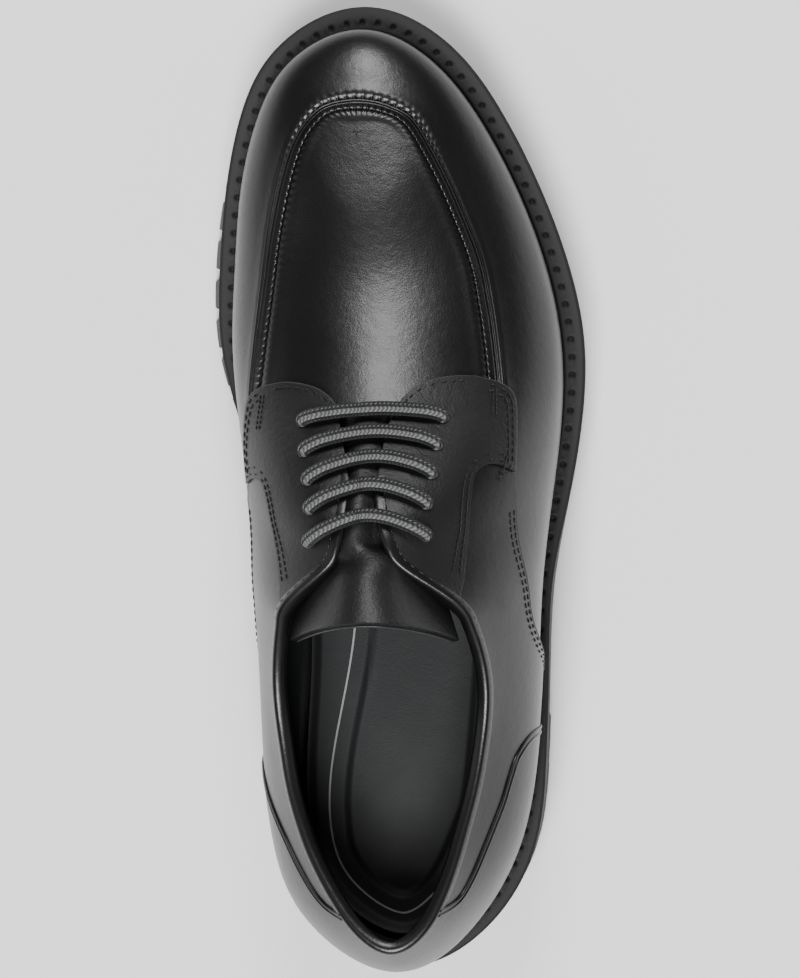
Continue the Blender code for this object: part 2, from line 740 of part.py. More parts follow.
def ceiling_over(x, y):
    """Height that stays inside the upper, over points in a row across it, and rises away from its edge."""
    stations, levels = find_on_wall(x, np.full_like(x, y))
    points, normals = wall(stations, levels), wall_normal(stations, levels)
    height = points[:, 2] - (UPPER_WALL + TONGUE_ROOM) / np.maximum(normals[:, 2], 0.3)
    beyond = np.hypot(points[:, 0] - x, points[:, 1] - y)
    return height + np.maximum(beyond - TONGUE_ROOM, 0) * TONGUE_EDGE_SLOPE


def tongue(parts):
    rows = []
    for share in np.linspace(TONGUE_FRONT, THROAT_END_SHARE, TONGUE_UNDER_ROWS):
        y = along(share)
        half_station = np.interp(-y, -top_y(SEAT_STATIONS), SEAT_STATIONS)
        x = top_centre(half_station) + TONGUE_ACROSS * TONGUE_UNDER_HALF * BALL_WIDTH
        rows.append(np.stack([x, np.full_like(x, y), ceiling_over(x, y)], -1))
    for share, centre, half, middle, side in TONGUE_TOP:
        y = along(share)
        x = (centre + TONGUE_ACROSS * half) * BALL_WIDTH
        rise = side + (middle - side) * np.cos(TONGUE_ACROSS * math.pi / 2) ** 0.8
        z = np.minimum(seat_at(y) + rise * INSTEP_RISE, ceiling_over(x, y))
        rows.append(np.stack([x, np.full_like(x, y), z], -1))
    outer = np.array(rows)
    normals = np.cross(np.gradient(outer, axis=1), np.gradient(outer, axis=0))
    normals /= np.linalg.norm(normals, axis=-1, keepdims=True)
    normals *= np.sign(normals[..., 2:])
    return sheet_solid("tongue", outer, outer - normals * TONGUE_THICKNESS, parts)


# Footbed
INSOLE_STATIONS = (0.1, 0.3, 0.6, 1, 1.5, 2, 2.7, 3.4, 4, 5, 6, 7, 8, 9, 10, 11, 11.6, 12.2, 12.6, 12.9)


def insole(parts):
    half = np.array(INSOLE_STATIONS)
    both = []
    for stations in (half, STATIONS - half):
        both.append(feather(stations) - outward(stations) * (UPPER_WALL + 2 * CLEARANCE))
    bottom = np.stack(both, 1)
    top = bottom + np.array([0, 0, FOOTBED_THICKNESS - CLEARANCE])
    return sheet_solid("insole", top, bottom, parts)


# Welt
def edge(station, reach):
    """Plan position beyond the widest line, by a reach that is added to the welt's own."""
    return widest(station) + outward(station) * (welt_reach(station) + reach)[..., None]


def welt(parts):
    stations = columns(0, STATIONS)[:-1]
    seat = seat_height(stations)
    bottom = seat + CLEARANCE
    top = seat + WELT_THICKNESS
    bevel = WELT_THICKNESS / 3
    section = []
    for height in (bottom, (bottom + top) / 2, top):
        inner = wall(stations, level_at_height(stations, height)) + outward(stations) * CLEARANCE * 1.2
        inner[:, 2] = height
        section.append(inner)
    for reach, height in ((-bevel, top), (0, top - bevel), (0, bottom + bevel / 2), (-bevel / 2, bottom)):
        outer = edge(stations, np.full_like(stations, reach))
        outer[:, 2] = height
        section.append(outer)
    return ring_solid("welt", np.stack(section, 1), parts)


# Outsole and heel
FLAT_FRONT = 0.780
FLAT_BACK = 0.560
TOE_SHARE = 1.03
HEEL_SHARE = HEEL_LENGTH / UPPER_LENGTH
HEEL_LUG_SHARE = 0.55
HEEL_BARS = (0.07, 0.13, 0.19)
FOREPART_BARS = (0.58, 0.63, 0.68, 0.73, 0.78, 0.83, 0.88)
LUG_FIRST = 7
LUG_LAST = 19
PLAIN_STEP = 0.5
TREAD_CHANNEL_STEPS = 33
CHAMFER = 0.0008


def station_of(share):
    """Station on the lateral side at a share of the length."""
    return float(np.interp(along(share), SEAT_Y, SEAT_STATIONS))


def sole_bottom(y):
    """Underside of the outsole: the heel's top, the arch, the flat forepart and the toe spring."""
    share = y / UPPER_LENGTH + 0.5
    back = np.clip((FLAT_BACK - share) / (FLAT_BACK - HEEL_SHARE), 0, 1)
    front = np.clip((share - FLAT_FRONT) / (TOE_SHARE - FLAT_FRONT), 0, 1.2)
    return HEEL_HEIGHT * (back * back * (3 - 2 * back)) + TOE_SPRING * front**1.7


def perimeter(first, last):
    """Stations and lengths along the welt's edge."""
    stations = np.linspace(first, last, 1201)
    points = edge(stations, np.zeros_like(stations))[:, :2]
    lengths = np.concatenate([[0], np.cumsum(np.linalg.norm(np.diff(points, axis=0), axis=1))])
    return stations, lengths


def lug_columns(first, last):
    """Stations of the lugs' corners, and 1 where a lug stands out or 0 in the notch beside it."""
    stations, lengths = perimeter(first, last)
    count = round(lengths[-1] / LUG_PITCH)
    pitch = lengths[-1] / count
    starts = np.arange(count) * pitch
    inset = np.array([LUG_GAP / 2, LUG_GAP / 2 + CHAMFER])
    corners = np.concatenate([inset, pitch - inset[::-1]])
    places = (starts[:, None] + corners).ravel()
    stands = np.tile([0.0, 1.0, 1.0, 0.0], count)
    gaps = np.arange(count + 1) * pitch
    return np.interp(places, lengths, stations), stands, np.interp(gaps, lengths, stations)


def cap_faces(bm, ring, turn):
    """Faces over a ring of vertices, joining the two sides at like places along the foot."""
    lateral = ring[: turn + 1]
    medial = [ring[0]] + ring[:turn - 1 : -1]
    i = j = 0
    while i < len(lateral) - 1 or j < len(medial) - 1:
        go_lateral = j == len(medial) - 1 or (
            i < len(lateral) - 1 and lateral[i + 1].co.y <= medial[j + 1].co.y
        )
        third = lateral[i + 1] if go_lateral else medial[j + 1]
        corners = list(dict.fromkeys([lateral[i], third, medial[j]]))
        if len(corners) == 3:
            bm.faces.new(corners)
        i += go_lateral
        j += not go_lateral


def sides_at(y, inset):
    """Plan points of both sides of the sole at a place along it, inside its edge by an inset."""
    half = float(np.interp(y, SEAT_Y, SEAT_STATIONS))
    found = []
    for station in (half, STATIONS - half):
        found.append(np.array([edge(station, -inset)[0], y]))
    return found


def tread_box(start, end, collection):
    """A straight groove in the tread, from one plan point to another, following the underside."""
    run = (end - start) / np.linalg.norm(end - start)
    side = np.array([-run[1], run[0]]) * LUG_GAP / 2
    corners = np.array([start - side, end - side, end + side, start + side])
    ground = sole_bottom(corners[:, 1]) * (corners[:, 1] > along(HEEL_SHARE))
    low = np.column_stack([corners, ground - TREAD_DEPTH])
    high = np.column_stack([corners, ground + TREAD_DEPTH])
    return stacked_solid("groove", [low, high], collection)


def tread_channel(first, last, collection):
    """The groove between the lugs of the rim and those of the middle."""
    stations = np.linspace(first, last, TREAD_CHANNEL_STEPS)
    inset = np.array([TREAD_RIM, TREAD_RIM + LUG_GAP])
    points = np.stack([edge(stations, -reach + 0 * stations) for reach in inset], 1)
    ground = sole_bottom(points[..., 1])
    low, high = points.copy(), points.copy()
    low[..., 2] = ground - TREAD_DEPTH
    high[..., 2] = ground + TREAD_DEPTH
    return sheet_solid("tread_channel", high, low, collection)


def cut_tread(obj, gaps, bars, collection):
    """Cuts the grooves between the lugs of the rim, and the bars across the middle."""
    rim = [tread_box(edge(at, WELT_WIDTH)[:2], edge(at, -TREAD_RIM)[:2], collection) for at in gaps]
    across = []
    for share in bars:
        lateral, medial = sides_at(along(share), TREAD_RIM + LUG_GAP / 2)
        across.append(tread_box(lateral, medial, collection))
    boolean(obj, "DIFFERENCE", join_meshes(f"{obj.name}_rim_grooves", rim, collection), crossing=True)
    boolean(obj, "DIFFERENCE", join_meshes(f"{obj.name}_bars", across, collection))


def outsole(parts, helpers):
    lugs, stands, gaps = lug_columns(LUG_FIRST, LUG_LAST)
    before = np.arange(0, LUG_FIRST - PLAIN_STEP / 2, PLAIN_STEP)
    behind = np.arange(STATIONS - PLAIN_STEP, LUG_LAST + PLAIN_STEP / 2, -PLAIN_STEP)[::-1]
    stations = np.concatenate([before, lugs, behind])
    notched = np.concatenate([0 * before, 1 - stands, 0 * behind])
    notch = notched * LUG_NOTCH
    flare = lug_flare(stations)
    flat = 0 * flare
    seat = seat_height(stations)
    step, groove = SOLE_SIDE_STEP, SOLE_SIDE_GROOVE
    bottom = sole_bottom(edge(stations, flat)[:, 1])
    profile = (
        (flat - step - groove, seat),
        (flat - step - groove, seat - 2 * step),
        (flat - step / 2 - notch, seat - 3 * step),
        (flare - notch, bottom),
        (flat - 2 * LUG_NOTCH, bottom),
    )
    rings = []
    for reach, height in profile:
        ring = edge(stations, reach)
        ring[:, 2] = height
        rings.append(ring)
    rings[-1][:, 2] = sole_bottom(rings[-1][:, 1])
    bm = bmesh.new()
    grid = vertices_of(bm, rings)
    grid_faces(bm, [list(column) for column in zip(*grid)], closed=True)
    for ring in (0, -1):
        cap_faces(bm, grid[ring], int(np.argmax(rings[ring][:, 1])))
    obj = finish_mesh(bm, "outsole", parts)
    boolean(obj, "DIFFERENCE", tread_channel(LUG_FIRST, LUG_LAST, helpers))
    cut_tread(obj, gaps, FOREPART_BARS, helpers)
    return obj


def heel(parts, helpers):
    breast = station_of(HEEL_SHARE)
    stations, stands, gaps = lug_columns(-breast, breast)
    notch = (1 - stands) * LUG_NOTCH
    flat = 0 * notch
    lug_top = HEEL_HEIGHT * HEEL_LUG_SHARE
    profile = (
        (-notch - CHAMFER, 0),
        (-notch, lug_top),
        (flat, lug_top + LUG_NOTCH),
        (flat, HEEL_HEIGHT - CLEARANCE),
    )
    rings = []
    for reach, height in profile:
        ring = edge(stations, reach)
        ring[:, 2] = height
        rings.append(ring)
    obj = stacked_solid("heel", rings, parts)
    cut_tread(obj, gaps[1:-1], HEEL_BARS, helpers)
    return obj


# name of the maker's material, colour and roughness
LOOKS = {
    "leather": ((0.012, 0.012, 0.013), 0.38),
    "matte_leather": ((0.010, 0.010, 0.011), 0.52),
    "rubber": ((0.014, 0.014, 0.014), 0.62),
    "lace_braid": ((0.035, 0.035, 0.037), 0.80),
    "footbed_leather": ((0.030, 0.030, 0.031), 0.60),
}


def main():
    for obj in list(bpy.data.objects):
        bpy.data.objects.remove(obj)
    parts = bpy.data.collections.new("lug_sole_derby")
    helpers = bpy.data.collections.new("cutters")
    for collection in (parts, helpers):
        bpy.context.scene.collection.children.link(collection)
    helpers.hide_render = True
    materials = {name: principled(name, *look) for name, look in LOOKS.items()}

    holes = eyelet_cutter(helpers)
    made = {"leather": [upper(parts), counter(parts, helpers), apron_seam(parts)]}
    boolean(made["leather"][0], "DIFFERENCE", holes)
    made["leather"] += [quarter(side, parts, helpers) for side in SIDES]
    made["matte_leather"] = [facing(side, parts, helpers, holes) for side in SIDES]
    made["matte_leather"].append(tongue(parts))
    made["rubber"] = [welt(parts), outsole(parts, helpers), heel(parts, helpers)]
    made["footbed_leather"] = [insole(parts)]
    made["lace_braid"] = laces(parts)
    for look, objects in made.items():
        for obj in objects:
            obj.data.materials.append(materials[look])
            if obj.type == "MESH":
                smooth_shading(obj)

    middle = bpy.data.objects.new("shoe", None)
    parts.objects.link(middle)
    outline = np.array([vertex.co for obj in made["rubber"] for vertex in obj.data.vertices])
    middle.location = -(outline.max(axis=0) + outline.min(axis=0)) / 2 * (1, 1, 0)
    for obj in list(parts.objects) + list(helpers.objects):
        if obj != middle:
            obj.parent = middle


if __name__ == "__main__":
    main()
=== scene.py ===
# %% [markdown]
# # A black lug sole derby, dressed over its frame
# The shoe is a right one, with an apron toe, five bars of braided lace and a lugged rubber sole.
# The frame gives sizes and the body that everything rides on. Each piece below is a surface worked
# out with numpy over the same last, so leather, welt and sole meet as they do on the real shoe.

import math

import bmesh
import bpy
import numpy as np
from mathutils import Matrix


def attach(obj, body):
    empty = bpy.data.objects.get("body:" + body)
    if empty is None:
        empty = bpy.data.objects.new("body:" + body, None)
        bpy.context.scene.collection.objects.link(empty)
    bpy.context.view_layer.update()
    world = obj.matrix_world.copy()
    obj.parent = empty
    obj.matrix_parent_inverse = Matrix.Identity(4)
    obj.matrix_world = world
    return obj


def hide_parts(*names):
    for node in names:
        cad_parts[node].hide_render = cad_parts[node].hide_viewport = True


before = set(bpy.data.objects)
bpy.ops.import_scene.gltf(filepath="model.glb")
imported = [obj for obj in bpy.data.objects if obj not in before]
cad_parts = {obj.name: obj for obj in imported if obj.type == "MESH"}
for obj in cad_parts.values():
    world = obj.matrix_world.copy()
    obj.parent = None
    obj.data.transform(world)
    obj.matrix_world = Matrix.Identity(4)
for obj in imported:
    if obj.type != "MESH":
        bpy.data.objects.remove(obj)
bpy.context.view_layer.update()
print("nodes in the frame:", sorted(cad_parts))

# %% [markdown]
# ## Camera
# The photograph looks almost straight down from about 1.15 m, leaning 5 degrees to the outer side,
# with the toe at the top. A long lens keeps the perspective as flat as it is there.

# %% Camera
PHOTO_PX = (800, 978)
PX_PER_MM = 3.164
CAMERA_DISTANCE = 1.150
CAMERA_LEAN = math.radians(5)
SENSOR_MM = 36
AIM = np.array([0.00366, -0.00105, 0.045])

camera_data = bpy.data.cameras.new("photo_camera")
camera_data.sensor_width = SENSOR_MM
camera_data.lens = SENSOR_MM * PX_PER_MM * CAMERA_DISTANCE * 1000 / max(PHOTO_PX)
camera_data.clip_end = 20
camera = bpy.data.objects.new("photo_camera", camera_data)
bpy.context.scene.collection.objects.link(camera)
camera.location = AIM + CAMERA_DISTANCE * np.array([math.sin(CAMERA_LEAN), 0, math.cos(CAMERA_LEAN)])
camera.rotation_euler = (0, CAMERA_LEAN, 0)
bpy.context.scene.camera = camera
print("lens", round(camera_data.lens, 1), "mm")

# %% [markdown]
# ## The last
# A shoe is built over a last, a solid foot shape. Here the last is a set of sections around the foot,
# one per station: 0 at the back of the heel, up the outer side to 13 at the tip of the toe, and back
# down the inner side. Levels climb each section: -1 at the feather where the sole begins, 0 at the
# widest point, 1 at the topline. Smooth closed curves run through the stations.

# %% Last tables
UPPER_LENGTH = 0.2945
BALL_WIDTH = 0.1050
INSTEP_RISE = 0.0825
GIRTH_RISE = 0.0220
FEATHER_TUCK = 0.0050
THROAT_WIDTH = 0.0090
UPPER_WALL = 0.0024
HEEL_SEAT_HEIGHT = 0.0340
FOREPART_HEIGHT = 0.0220
TOE_SPRING = 0.0125
WELT_WIDTH = 0.0080
WELT_THICKNESS = 0.0034
LUG_FLARE = 0.0026
CENTRING = np.array([0.00366, -0.00280, 0.0])
LOW_ANGLE = math.radians(62)
SMALL = 1e-3
# The throat's closing line flattens over this many stations, and stops short of the toe's tip.
RIDGE_FADE, RIDGE_STOP = 1.5, 0.3

# shares: along, lateral, medial, seat, spring, girth, tuck (both sides), welt (both), flare (both)
LAST = np.array(
    [
        (0.000, 0.005, 0.005, 1.00, 0.00, 0.95, 1.0, 1.0, 0.35, 0.35, 0.0, 0.0),
        (0.051, 0.230, -0.253, 1.00, 0.00, 0.95, 1.0, 1.0, 0.72, 0.42, 0.0, 0.0),
        (0.131, 0.354, -0.355, 0.96, 0.00, 0.93, 1.1, 1.1, 0.72, 0.36, 0.0, 0.0),
        (0.218, 0.402, -0.387, 0.88, 0.00, 0.93, 1.2, 1.5, 0.46, 0.28, 0.0, 0.0),
        (0.313, 0.421, -0.400, 0.67, 0.00, 1.00, 1.2, 2.0, 0.30, 0.00, 0.0, 0.0),
        (0.405, 0.432, -0.421, 0.42, 0.00, 1.04, 1.1, 2.2, 0.28, -0.35, 0.0, 0.0),
        (0.493, 0.458, -0.452, 0.21, 0.00, 0.98, 1.0, 1.8, 0.55, -0.15, -0.3, 0.2),
        (0.575, 0.484, -0.486, 0.04, 0.00, 0.89, 0.8, 1.1, 0.72, 0.35, -0.5, 0.7),
        (0.660, 0.484, -0.514, 0.00, 0.00, 0.73, 0.7, 0.8, 0.85, 0.85, -0.55, 1.1),
        (0.745, 0.437, -0.511, 0.00, 0.04, 0.61, 0.7, 0.7, 0.85, 1.00, -0.55, 1.3),
        (0.830, 0.348, -0.492, 0.00, 0.16, 0.59, 0.7, 0.7, 0.85, 0.95, -0.5, 1.1),
        (0.908, 0.231, -0.438, 0.00, 0.40, 0.55, 0.7, 0.7, 0.90, 0.95, -0.3, 0.5),
        (0.969, 0.086, -0.329, 0.00, 0.64, 0.55, 0.7, 0.7, 1.00, 1.00, 0.0, 0.1),
        (1.000, -0.120, -0.120, 0.00, 0.80, 0.55, 0.7, 0.7, 1.05, 1.05, 0.0, 0.0),
    ]
).T
# shares: along, centre, collar half width, throat half width, rise, closing angle, fullness (both)
TOPLINE = np.array(
    [
        (0.036, 0.019, 0.000, 0.0, 0.800, 30, 0.40, 0.40),
        (0.073, 0.011, 0.129, 0.0, 0.770, 33, 0.40, 0.40),
        (0.146, -0.010, 0.222, 0.0, 0.709, 36, 0.41, 0.41),
        (0.221, -0.015, 0.276, 0.0, 0.679, 38, 0.42, 0.42),
        (0.299, -0.017, 0.300, 0.0, 0.727, 38, 0.42, 0.42),
        (0.372, -0.029, 0.268, 0.0, 0.873, 34, 0.42, 0.43),
        (0.439, -0.053, 0.035, 1.0, 1.000, 14, 0.43, 0.47),
        (0.507, -0.063, 0.000, 1.0, 0.927, 0, 0.44, 0.48),
        (0.582, -0.062, 0.000, 0.0, 0.776, 0, 0.44, 0.48),
        (0.660, -0.071, 0.000, 0.0, 0.648, 0, 0.45, 0.49),
        (0.731, -0.086, 0.000, 0.0, 0.545, 0, 0.48, 0.51),
        (0.793, -0.100, 0.000, 0.0, 0.465, 0, 0.51, 0.53),
        (0.840, -0.112, 0.000, 0.0, 0.395, 0, 0.54, 0.55),
        (0.881, -0.118, 0.000, 0.0, 0.340, 0, 0.55, 0.55),
    ]
).T
HALF = LAST.shape[1] - 1
STATIONS = 2 * HALF
THROAT_END = 6


# %% Curves through the stations
def around(lateral, medial):
    """Values at each station: up the lateral side, then back down the medial one."""
    return np.concatenate([lateral, medial[-2:0:-1]])


def smooth_loop(values):
    """Closed cubic spline through one value per station, with bends from the usual 1-4-1 system."""
    count = len(values)
    system = 4 * np.eye(count) + np.roll(np.eye(count), 1, axis=1) + np.roll(np.eye(count), -1, axis=1)
    bend = np.linalg.solve(system, 6 * (np.roll(values, -1) - 2 * values + np.roll(values, 1)))

    def value(station):
        here = np.floor(station).astype(int) % count
        after = (here + 1) % count
        u = station - np.floor(station)
        straight = (values[here] - bend[here] / 6) * (1 - u) + (values[after] - bend[after] / 6) * u
        return straight + (bend[here] * (1 - u) ** 3 + bend[after] * u**3) / 6

    return value


def even_curve(values):
    """Cubic through one value per station that never overshoots: slopes are harmonic means."""
    step = np.diff(values)
    slope = np.zeros(len(values))
    slope[0] = step[0]
    same_way = step[:-1] * step[1:] > 0
    total = np.where(same_way, step[:-1] + step[1:], 1)
    slope[1:-1] = np.where(same_way, 2 * step[:-1] * step[1:] / total, 0)

    def value(half):
        here = np.clip(np.floor(half).astype(int), 0, len(values) - 2)
        u = half - here
        start = (1 + 2 * u) * (1 - u) ** 2 * values[here] + u * (1 - u) ** 2 * slope[here]
        return start + u**2 * (3 - 2 * u) * values[here + 1] + u**2 * (u - 1) * slope[here + 1]

    return value


def along(share):
    return (share - 0.5) * UPPER_LENGTH


seat_share = smooth_loop(around(LAST[3], LAST[3]))
spring_share = smooth_loop(around(LAST[4], LAST[4]))
wide_x = smooth_loop(around(LAST[1], LAST[2]) * BALL_WIDTH)
wide_y = smooth_loop(along(around(LAST[0], LAST[0])))
girth_rise = smooth_loop(around(LAST[5], LAST[5]) * GIRTH_RISE)
tuck = smooth_loop(around(LAST[6], LAST[7]) * FEATHER_TUCK)
welt_reach = smooth_loop(around(LAST[8], LAST[9]) * WELT_WIDTH)
lug_flare = smooth_loop(around(LAST[10], LAST[11]) * LUG_FLARE)
top_y = smooth_loop(along(around(TOPLINE[0], TOPLINE[0])))
top_centre = smooth_loop(around(TOPLINE[1], TOPLINE[1]) * BALL_WIDTH)
collar_half = even_curve(TOPLINE[2] * BALL_WIDTH)
throat_half = even_curve(TOPLINE[3] * THROAT_WIDTH / 2)
top_rise = smooth_loop(around(TOPLINE[4], TOPLINE[4]) * INSTEP_RISE)
closing = smooth_loop(np.radians(around(TOPLINE[5], TOPLINE[5])))
fullness = smooth_loop(around(TOPLINE[6], TOPLINE[7]))


# %% The wall over the last
def unit(vectors):
    return vectors / np.linalg.norm(vectors, axis=-1, keepdims=True)


def seat_height(station):
    """Top of the sole under the upper: forepart height, plus the heel's rise, plus the toe spring."""
    rise = (HEEL_SEAT_HEIGHT - FOREPART_HEIGHT) * seat_share(station)
    return FOREPART_HEIGHT + rise + TOE_SPRING * spring_share(station)


SEAT_STATIONS = np.linspace(0, HALF, 261)
SEAT_Y = wide_y(SEAT_STATIONS)
SEAT_Z = seat_height(SEAT_STATIONS)


def seat_at(y):
    return np.interp(y, SEAT_Y, SEAT_Z)


def widest(station):
    height = seat_height(station) + girth_rise(station)
    return np.stack([wide_x(station), wide_y(station), height], -1)


def outward(station):
    """Level direction away from the foot, square to the widest line."""
    run = widest(station + SMALL) - widest(station - SMALL)
    return unit(np.stack([run[..., 1], -run[..., 0], 0 * run[..., 0]], -1))


def feather(station):
    foot = widest(station) - outward(station) * tuck(station)[..., None]
    foot[..., 2] = seat_height(station)
    return foot


def fold(station):
    """Station counted from the heel on either side, and +1 on the lateral side or -1 on the medial."""
    folded = station % STATIONS
    return np.minimum(folded, STATIONS - folded), np.where(folded <= HALF, 1, -1)


def topline(station):
    half, side = fold(station)
    x = top_centre(station) + side * (collar_half(half) + throat_half(half))
    return np.stack([x, top_y(station), seat_height(station) + top_rise(station)], -1)


def ridge_slope(station):
    half, _ = fold(station)
    here = np.clip(half, THROAT_END, HALF - RIDGE_STOP)
    run = topline(here + SMALL) - topline(here - SMALL)
    return run[..., 2] / run[..., 1] * np.clip((half - THROAT_END) / RIDGE_FADE, 0, 1)


def last_wall(station, level):
    """A quarter ellipse from feather to widest point, then a cubic Bezier from there to the topline
    whose second handle leans in by the closing angle."""
    station, level = np.broadcast_arrays(np.asarray(station, float), np.asarray(level, float))
    wide, foot, top = widest(station), feather(station), topline(station)
    angle = np.clip(-level, 0, 1) * LOW_ANGLE
    inward = ((1 - np.cos(angle)) / (1 - math.cos(LOW_ANGLE)))[..., None]
    down = (np.sin(angle) / math.sin(LOW_ANGLE))[..., None]
    low = wide + (foot - wide) * np.concatenate([inward, inward, down], -1)
    v = np.clip(level, 0, 1)[..., None]
    span = top - wide
    full = fullness(station)[..., None]
    close = closing(station)[..., None]
    lower = wide + full * span * np.array([0, 0, 1])
    back = full * span * np.concatenate([np.cos(close), np.cos(close), np.sin(close)], -1)
    upper = top - back
    upper[..., 2] -= ridge_slope(station) * back[..., 1] * np.cos(close[..., 0])
    high = (1 - v) ** 3 * wide + 3 * (1 - v) ** 2 * v * lower + 3 * (1 - v) * v**2 * upper + v**3 * top
    return np.where(level[..., None] < 0, low, high)


def wall_normal(station, level):
    """Cross product of the two directions of the wall, by small differences."""
    station, level = np.broadcast_arrays(np.asarray(station, float), np.asarray(level, float))
    ahead = last_wall(station + SMALL, level) - last_wall(station - SMALL, level)
    above, below = np.clip(level + SMALL, -1, 1), np.clip(level - SMALL, -1, 1)
    up = last_wall(station, above) - last_wall(station, below)
    return unit(np.cross(ahead, up))


def wall(station, level, lift=0.0):
    """The last's wall in the frame's own place, lifted along its normal."""
    lift = np.asarray(lift, float)
    offset = wall_normal(station, level) * lift[..., None]
    return last_wall(station, level) + offset + CENTRING


def level_at_height(station, height):
    wide = widest(station)[..., 2]
    foot = feather(station)[..., 2]
    down = np.clip((wide - height) / (wide - foot), 0, 1)
    return -np.arcsin(down * math.sin(LOW_ANGLE)) / LOW_ANGLE


COARSE_S, COARSE_L = np.meshgrid(np.linspace(0, STATIONS, 157)[:-1], np.linspace(-1, 1, 33), indexing="ij")
COARSE = last_wall(COARSE_S, COARSE_L).reshape(-1, 3)
NEWTON_STEPS = 6
LONGEST_STEP = {"station": 0.3, "level": 0.2}


def find_on_wall(target, view=(0, 1), first=0.0, last=STATIONS, lowest=0.0):
    """Station and level of the wall behind points of a view: plan (x, y) by default, or side (y, z).
    It starts from the nearest of a coarse grid and takes Newton steps."""
    view = list(view)
    allowed = (COARSE_S.ravel() >= first) & (COARSE_S.ravel() <= last) & (COARSE_L.ravel() >= lowest)
    places = np.flatnonzero(allowed)
    gap = ((target[:, None, :] - COARSE[places][None, :, view]) ** 2).sum(-1)
    best = places[gap.argmin(1)]
    s, l = COARSE_S.ravel()[best], COARSE_L.ravel()[best]
    reach_s, reach_l = LONGEST_STEP["station"], LONGEST_STEP["level"]
    for _ in range(NEWTON_STEPS):
        miss = last_wall(s, l)[:, view] - target
        ds = (last_wall(s + SMALL, l) - last_wall(s - SMALL, l))[:, view] / (2 * SMALL)
        high, low = np.minimum(l + SMALL, 1), np.maximum(l - SMALL, lowest)
        dl = (last_wall(s, high) - last_wall(s, low))[:, view] / (high - low)[:, None]
        det = ds[:, 0] * dl[:, 1] - ds[:, 1] * dl[:, 0]
        det = np.where(np.abs(det) < 1e-9, 1e-9, det)
        s = s - np.clip((miss[:, 0] * dl[:, 1] - miss[:, 1] * dl[:, 0]) / det, -reach_s, reach_s)
        l = l - np.clip((ds[:, 0] * miss[:, 1] - ds[:, 1] * miss[:, 0]) / det, -reach_l, reach_l)
        l = np.clip(l, lowest, 1)
    return s, l


print("wall over the ball is", round(1000 * float(np.ptp(wide_x(SEAT_STATIONS))), 1), "mm to one side")


# %% [markdown]
# ## Helpers for surfaces, seams and threads
# A leather panel is a grid of points between its cut edges. Its thickness comes from Solidify, and a
# small Bevel breaks the cut edge as a skiving knife does. Stitches are short capsules joined in one
# mesh, and a row of them follows a seam at a real stitch length.

# %% Helpers
def curve_through(points, per_span=8):
    """Catmull-Rom curve through the points, as one array."""
    points = np.asarray(points, float)
    ends = np.vstack([2 * points[:1] - points[1:2], points, 2 * points[-1:] - points[-2:-1]])
    u = (np.arange(per_span) / per_span)[None, :, None]
    a, b, c, d = (ends[i : len(ends) - 3 + i, None, :] for i in range(4))
    bent = 2 * b + (c - a) * u + (2 * a - 5 * b + 4 * c - d) * u**2 + (3 * b - a - 3 * c + d) * u**3
    return np.vstack([bent.reshape(-1, points.shape[1]) / 2, points[-1:]])


def running_length(points):
    """Distance of each point from the first, along the path."""
    return np.concatenate([[0], np.cumsum(np.linalg.norm(np.diff(points, axis=0), axis=1))])


def evenly(points, count):
    """The same path with points at even distances."""
    lengths = running_length(points)
    at = np.linspace(0, lengths[-1], count)
    return np.stack([np.interp(at, lengths, points[:, k]) for k in range(points.shape[1])], -1)


def smooth_step(x, low, high):
    """0 below low, 1 above high, with no corner between."""
    t = np.clip((x - low) / (high - low), 0, 1)
    return t * t * (3 - 2 * t)


def in_plan(shares):
    shares = np.asarray(shares, float)
    return np.stack([shares[:, 1] * BALL_WIDTH, along(shares[:, 0])], 1)


def mesh_object(name, points, faces, uv=None):
    """Object from arrays of points and of quads, with one UV per point if given."""
    mesh = bpy.data.meshes.new(name)
    mesh.vertices.add(len(points))
    mesh.vertices.foreach_set("co", np.ascontiguousarray(points, np.float32).ravel())
    mesh.loops.add(faces.size)
    mesh.loops.foreach_set("vertex_index", faces.astype(np.int32).ravel())
    mesh.polygons.add(len(faces))
    mesh.polygons.foreach_set("loop_start", np.arange(0, faces.size, faces.shape[1], dtype=np.int32))
    mesh.polygons.foreach_set("loop_total", np.full(len(faces), faces.shape[1], np.int32))
    mesh.polygons.foreach_set("use_smooth", np.ones(len(faces), bool))
    if uv is not None:
        layer = mesh.uv_layers.new(name="UVMap")
        layer.data.foreach_set("uv", np.ascontiguousarray(uv[faces.ravel()], np.float32).ravel())
    mesh.update(calc_edges=True)
    mesh.validate()
    obj = bpy.data.objects.new(name, mesh)
    bpy.context.scene.collection.objects.link(obj)
    return obj


def grid_quads(rows, cols, wrap_rows=False, wrap_cols=False):
    """Corner numbers of the quads of a grid of points."""
    i = np.arange(rows if wrap_rows else rows - 1)[:, None]
    j = np.arange(cols if wrap_cols else cols - 1)[None, :]
    i2, j2 = (i + 1) % rows, (j + 1) % cols
    corners = [i * cols + j, i2 * cols + j, i2 * cols + j2, i * cols + j2]
    return np.stack([c.ravel() for c in np.broadcast_arrays(*corners)], -1)


def surface(name, grid, wrap_rows=False, wrap_cols=False, uv=None, flip=False):
    """Smooth surface over a grid of points, (rows, columns, 3)."""
    rows, cols = grid.shape[:2]
    faces = grid_quads(rows, cols, wrap_rows, wrap_cols)
    if flip:
        faces = faces[:, ::-1]
    return mesh_object(name, grid.reshape(-1, 3), faces, None if uv is None else uv.reshape(-1, 2))


def merge_doubles(obj, distance):
    bm = bmesh.new()
    bm.from_mesh(obj.data)
    bmesh.ops.remove_doubles(bm, verts=bm.verts, dist=distance)
    bmesh.ops.recalc_face_normals(bm, faces=bm.faces)
    bm.to_mesh(obj.data)
    bm.free()


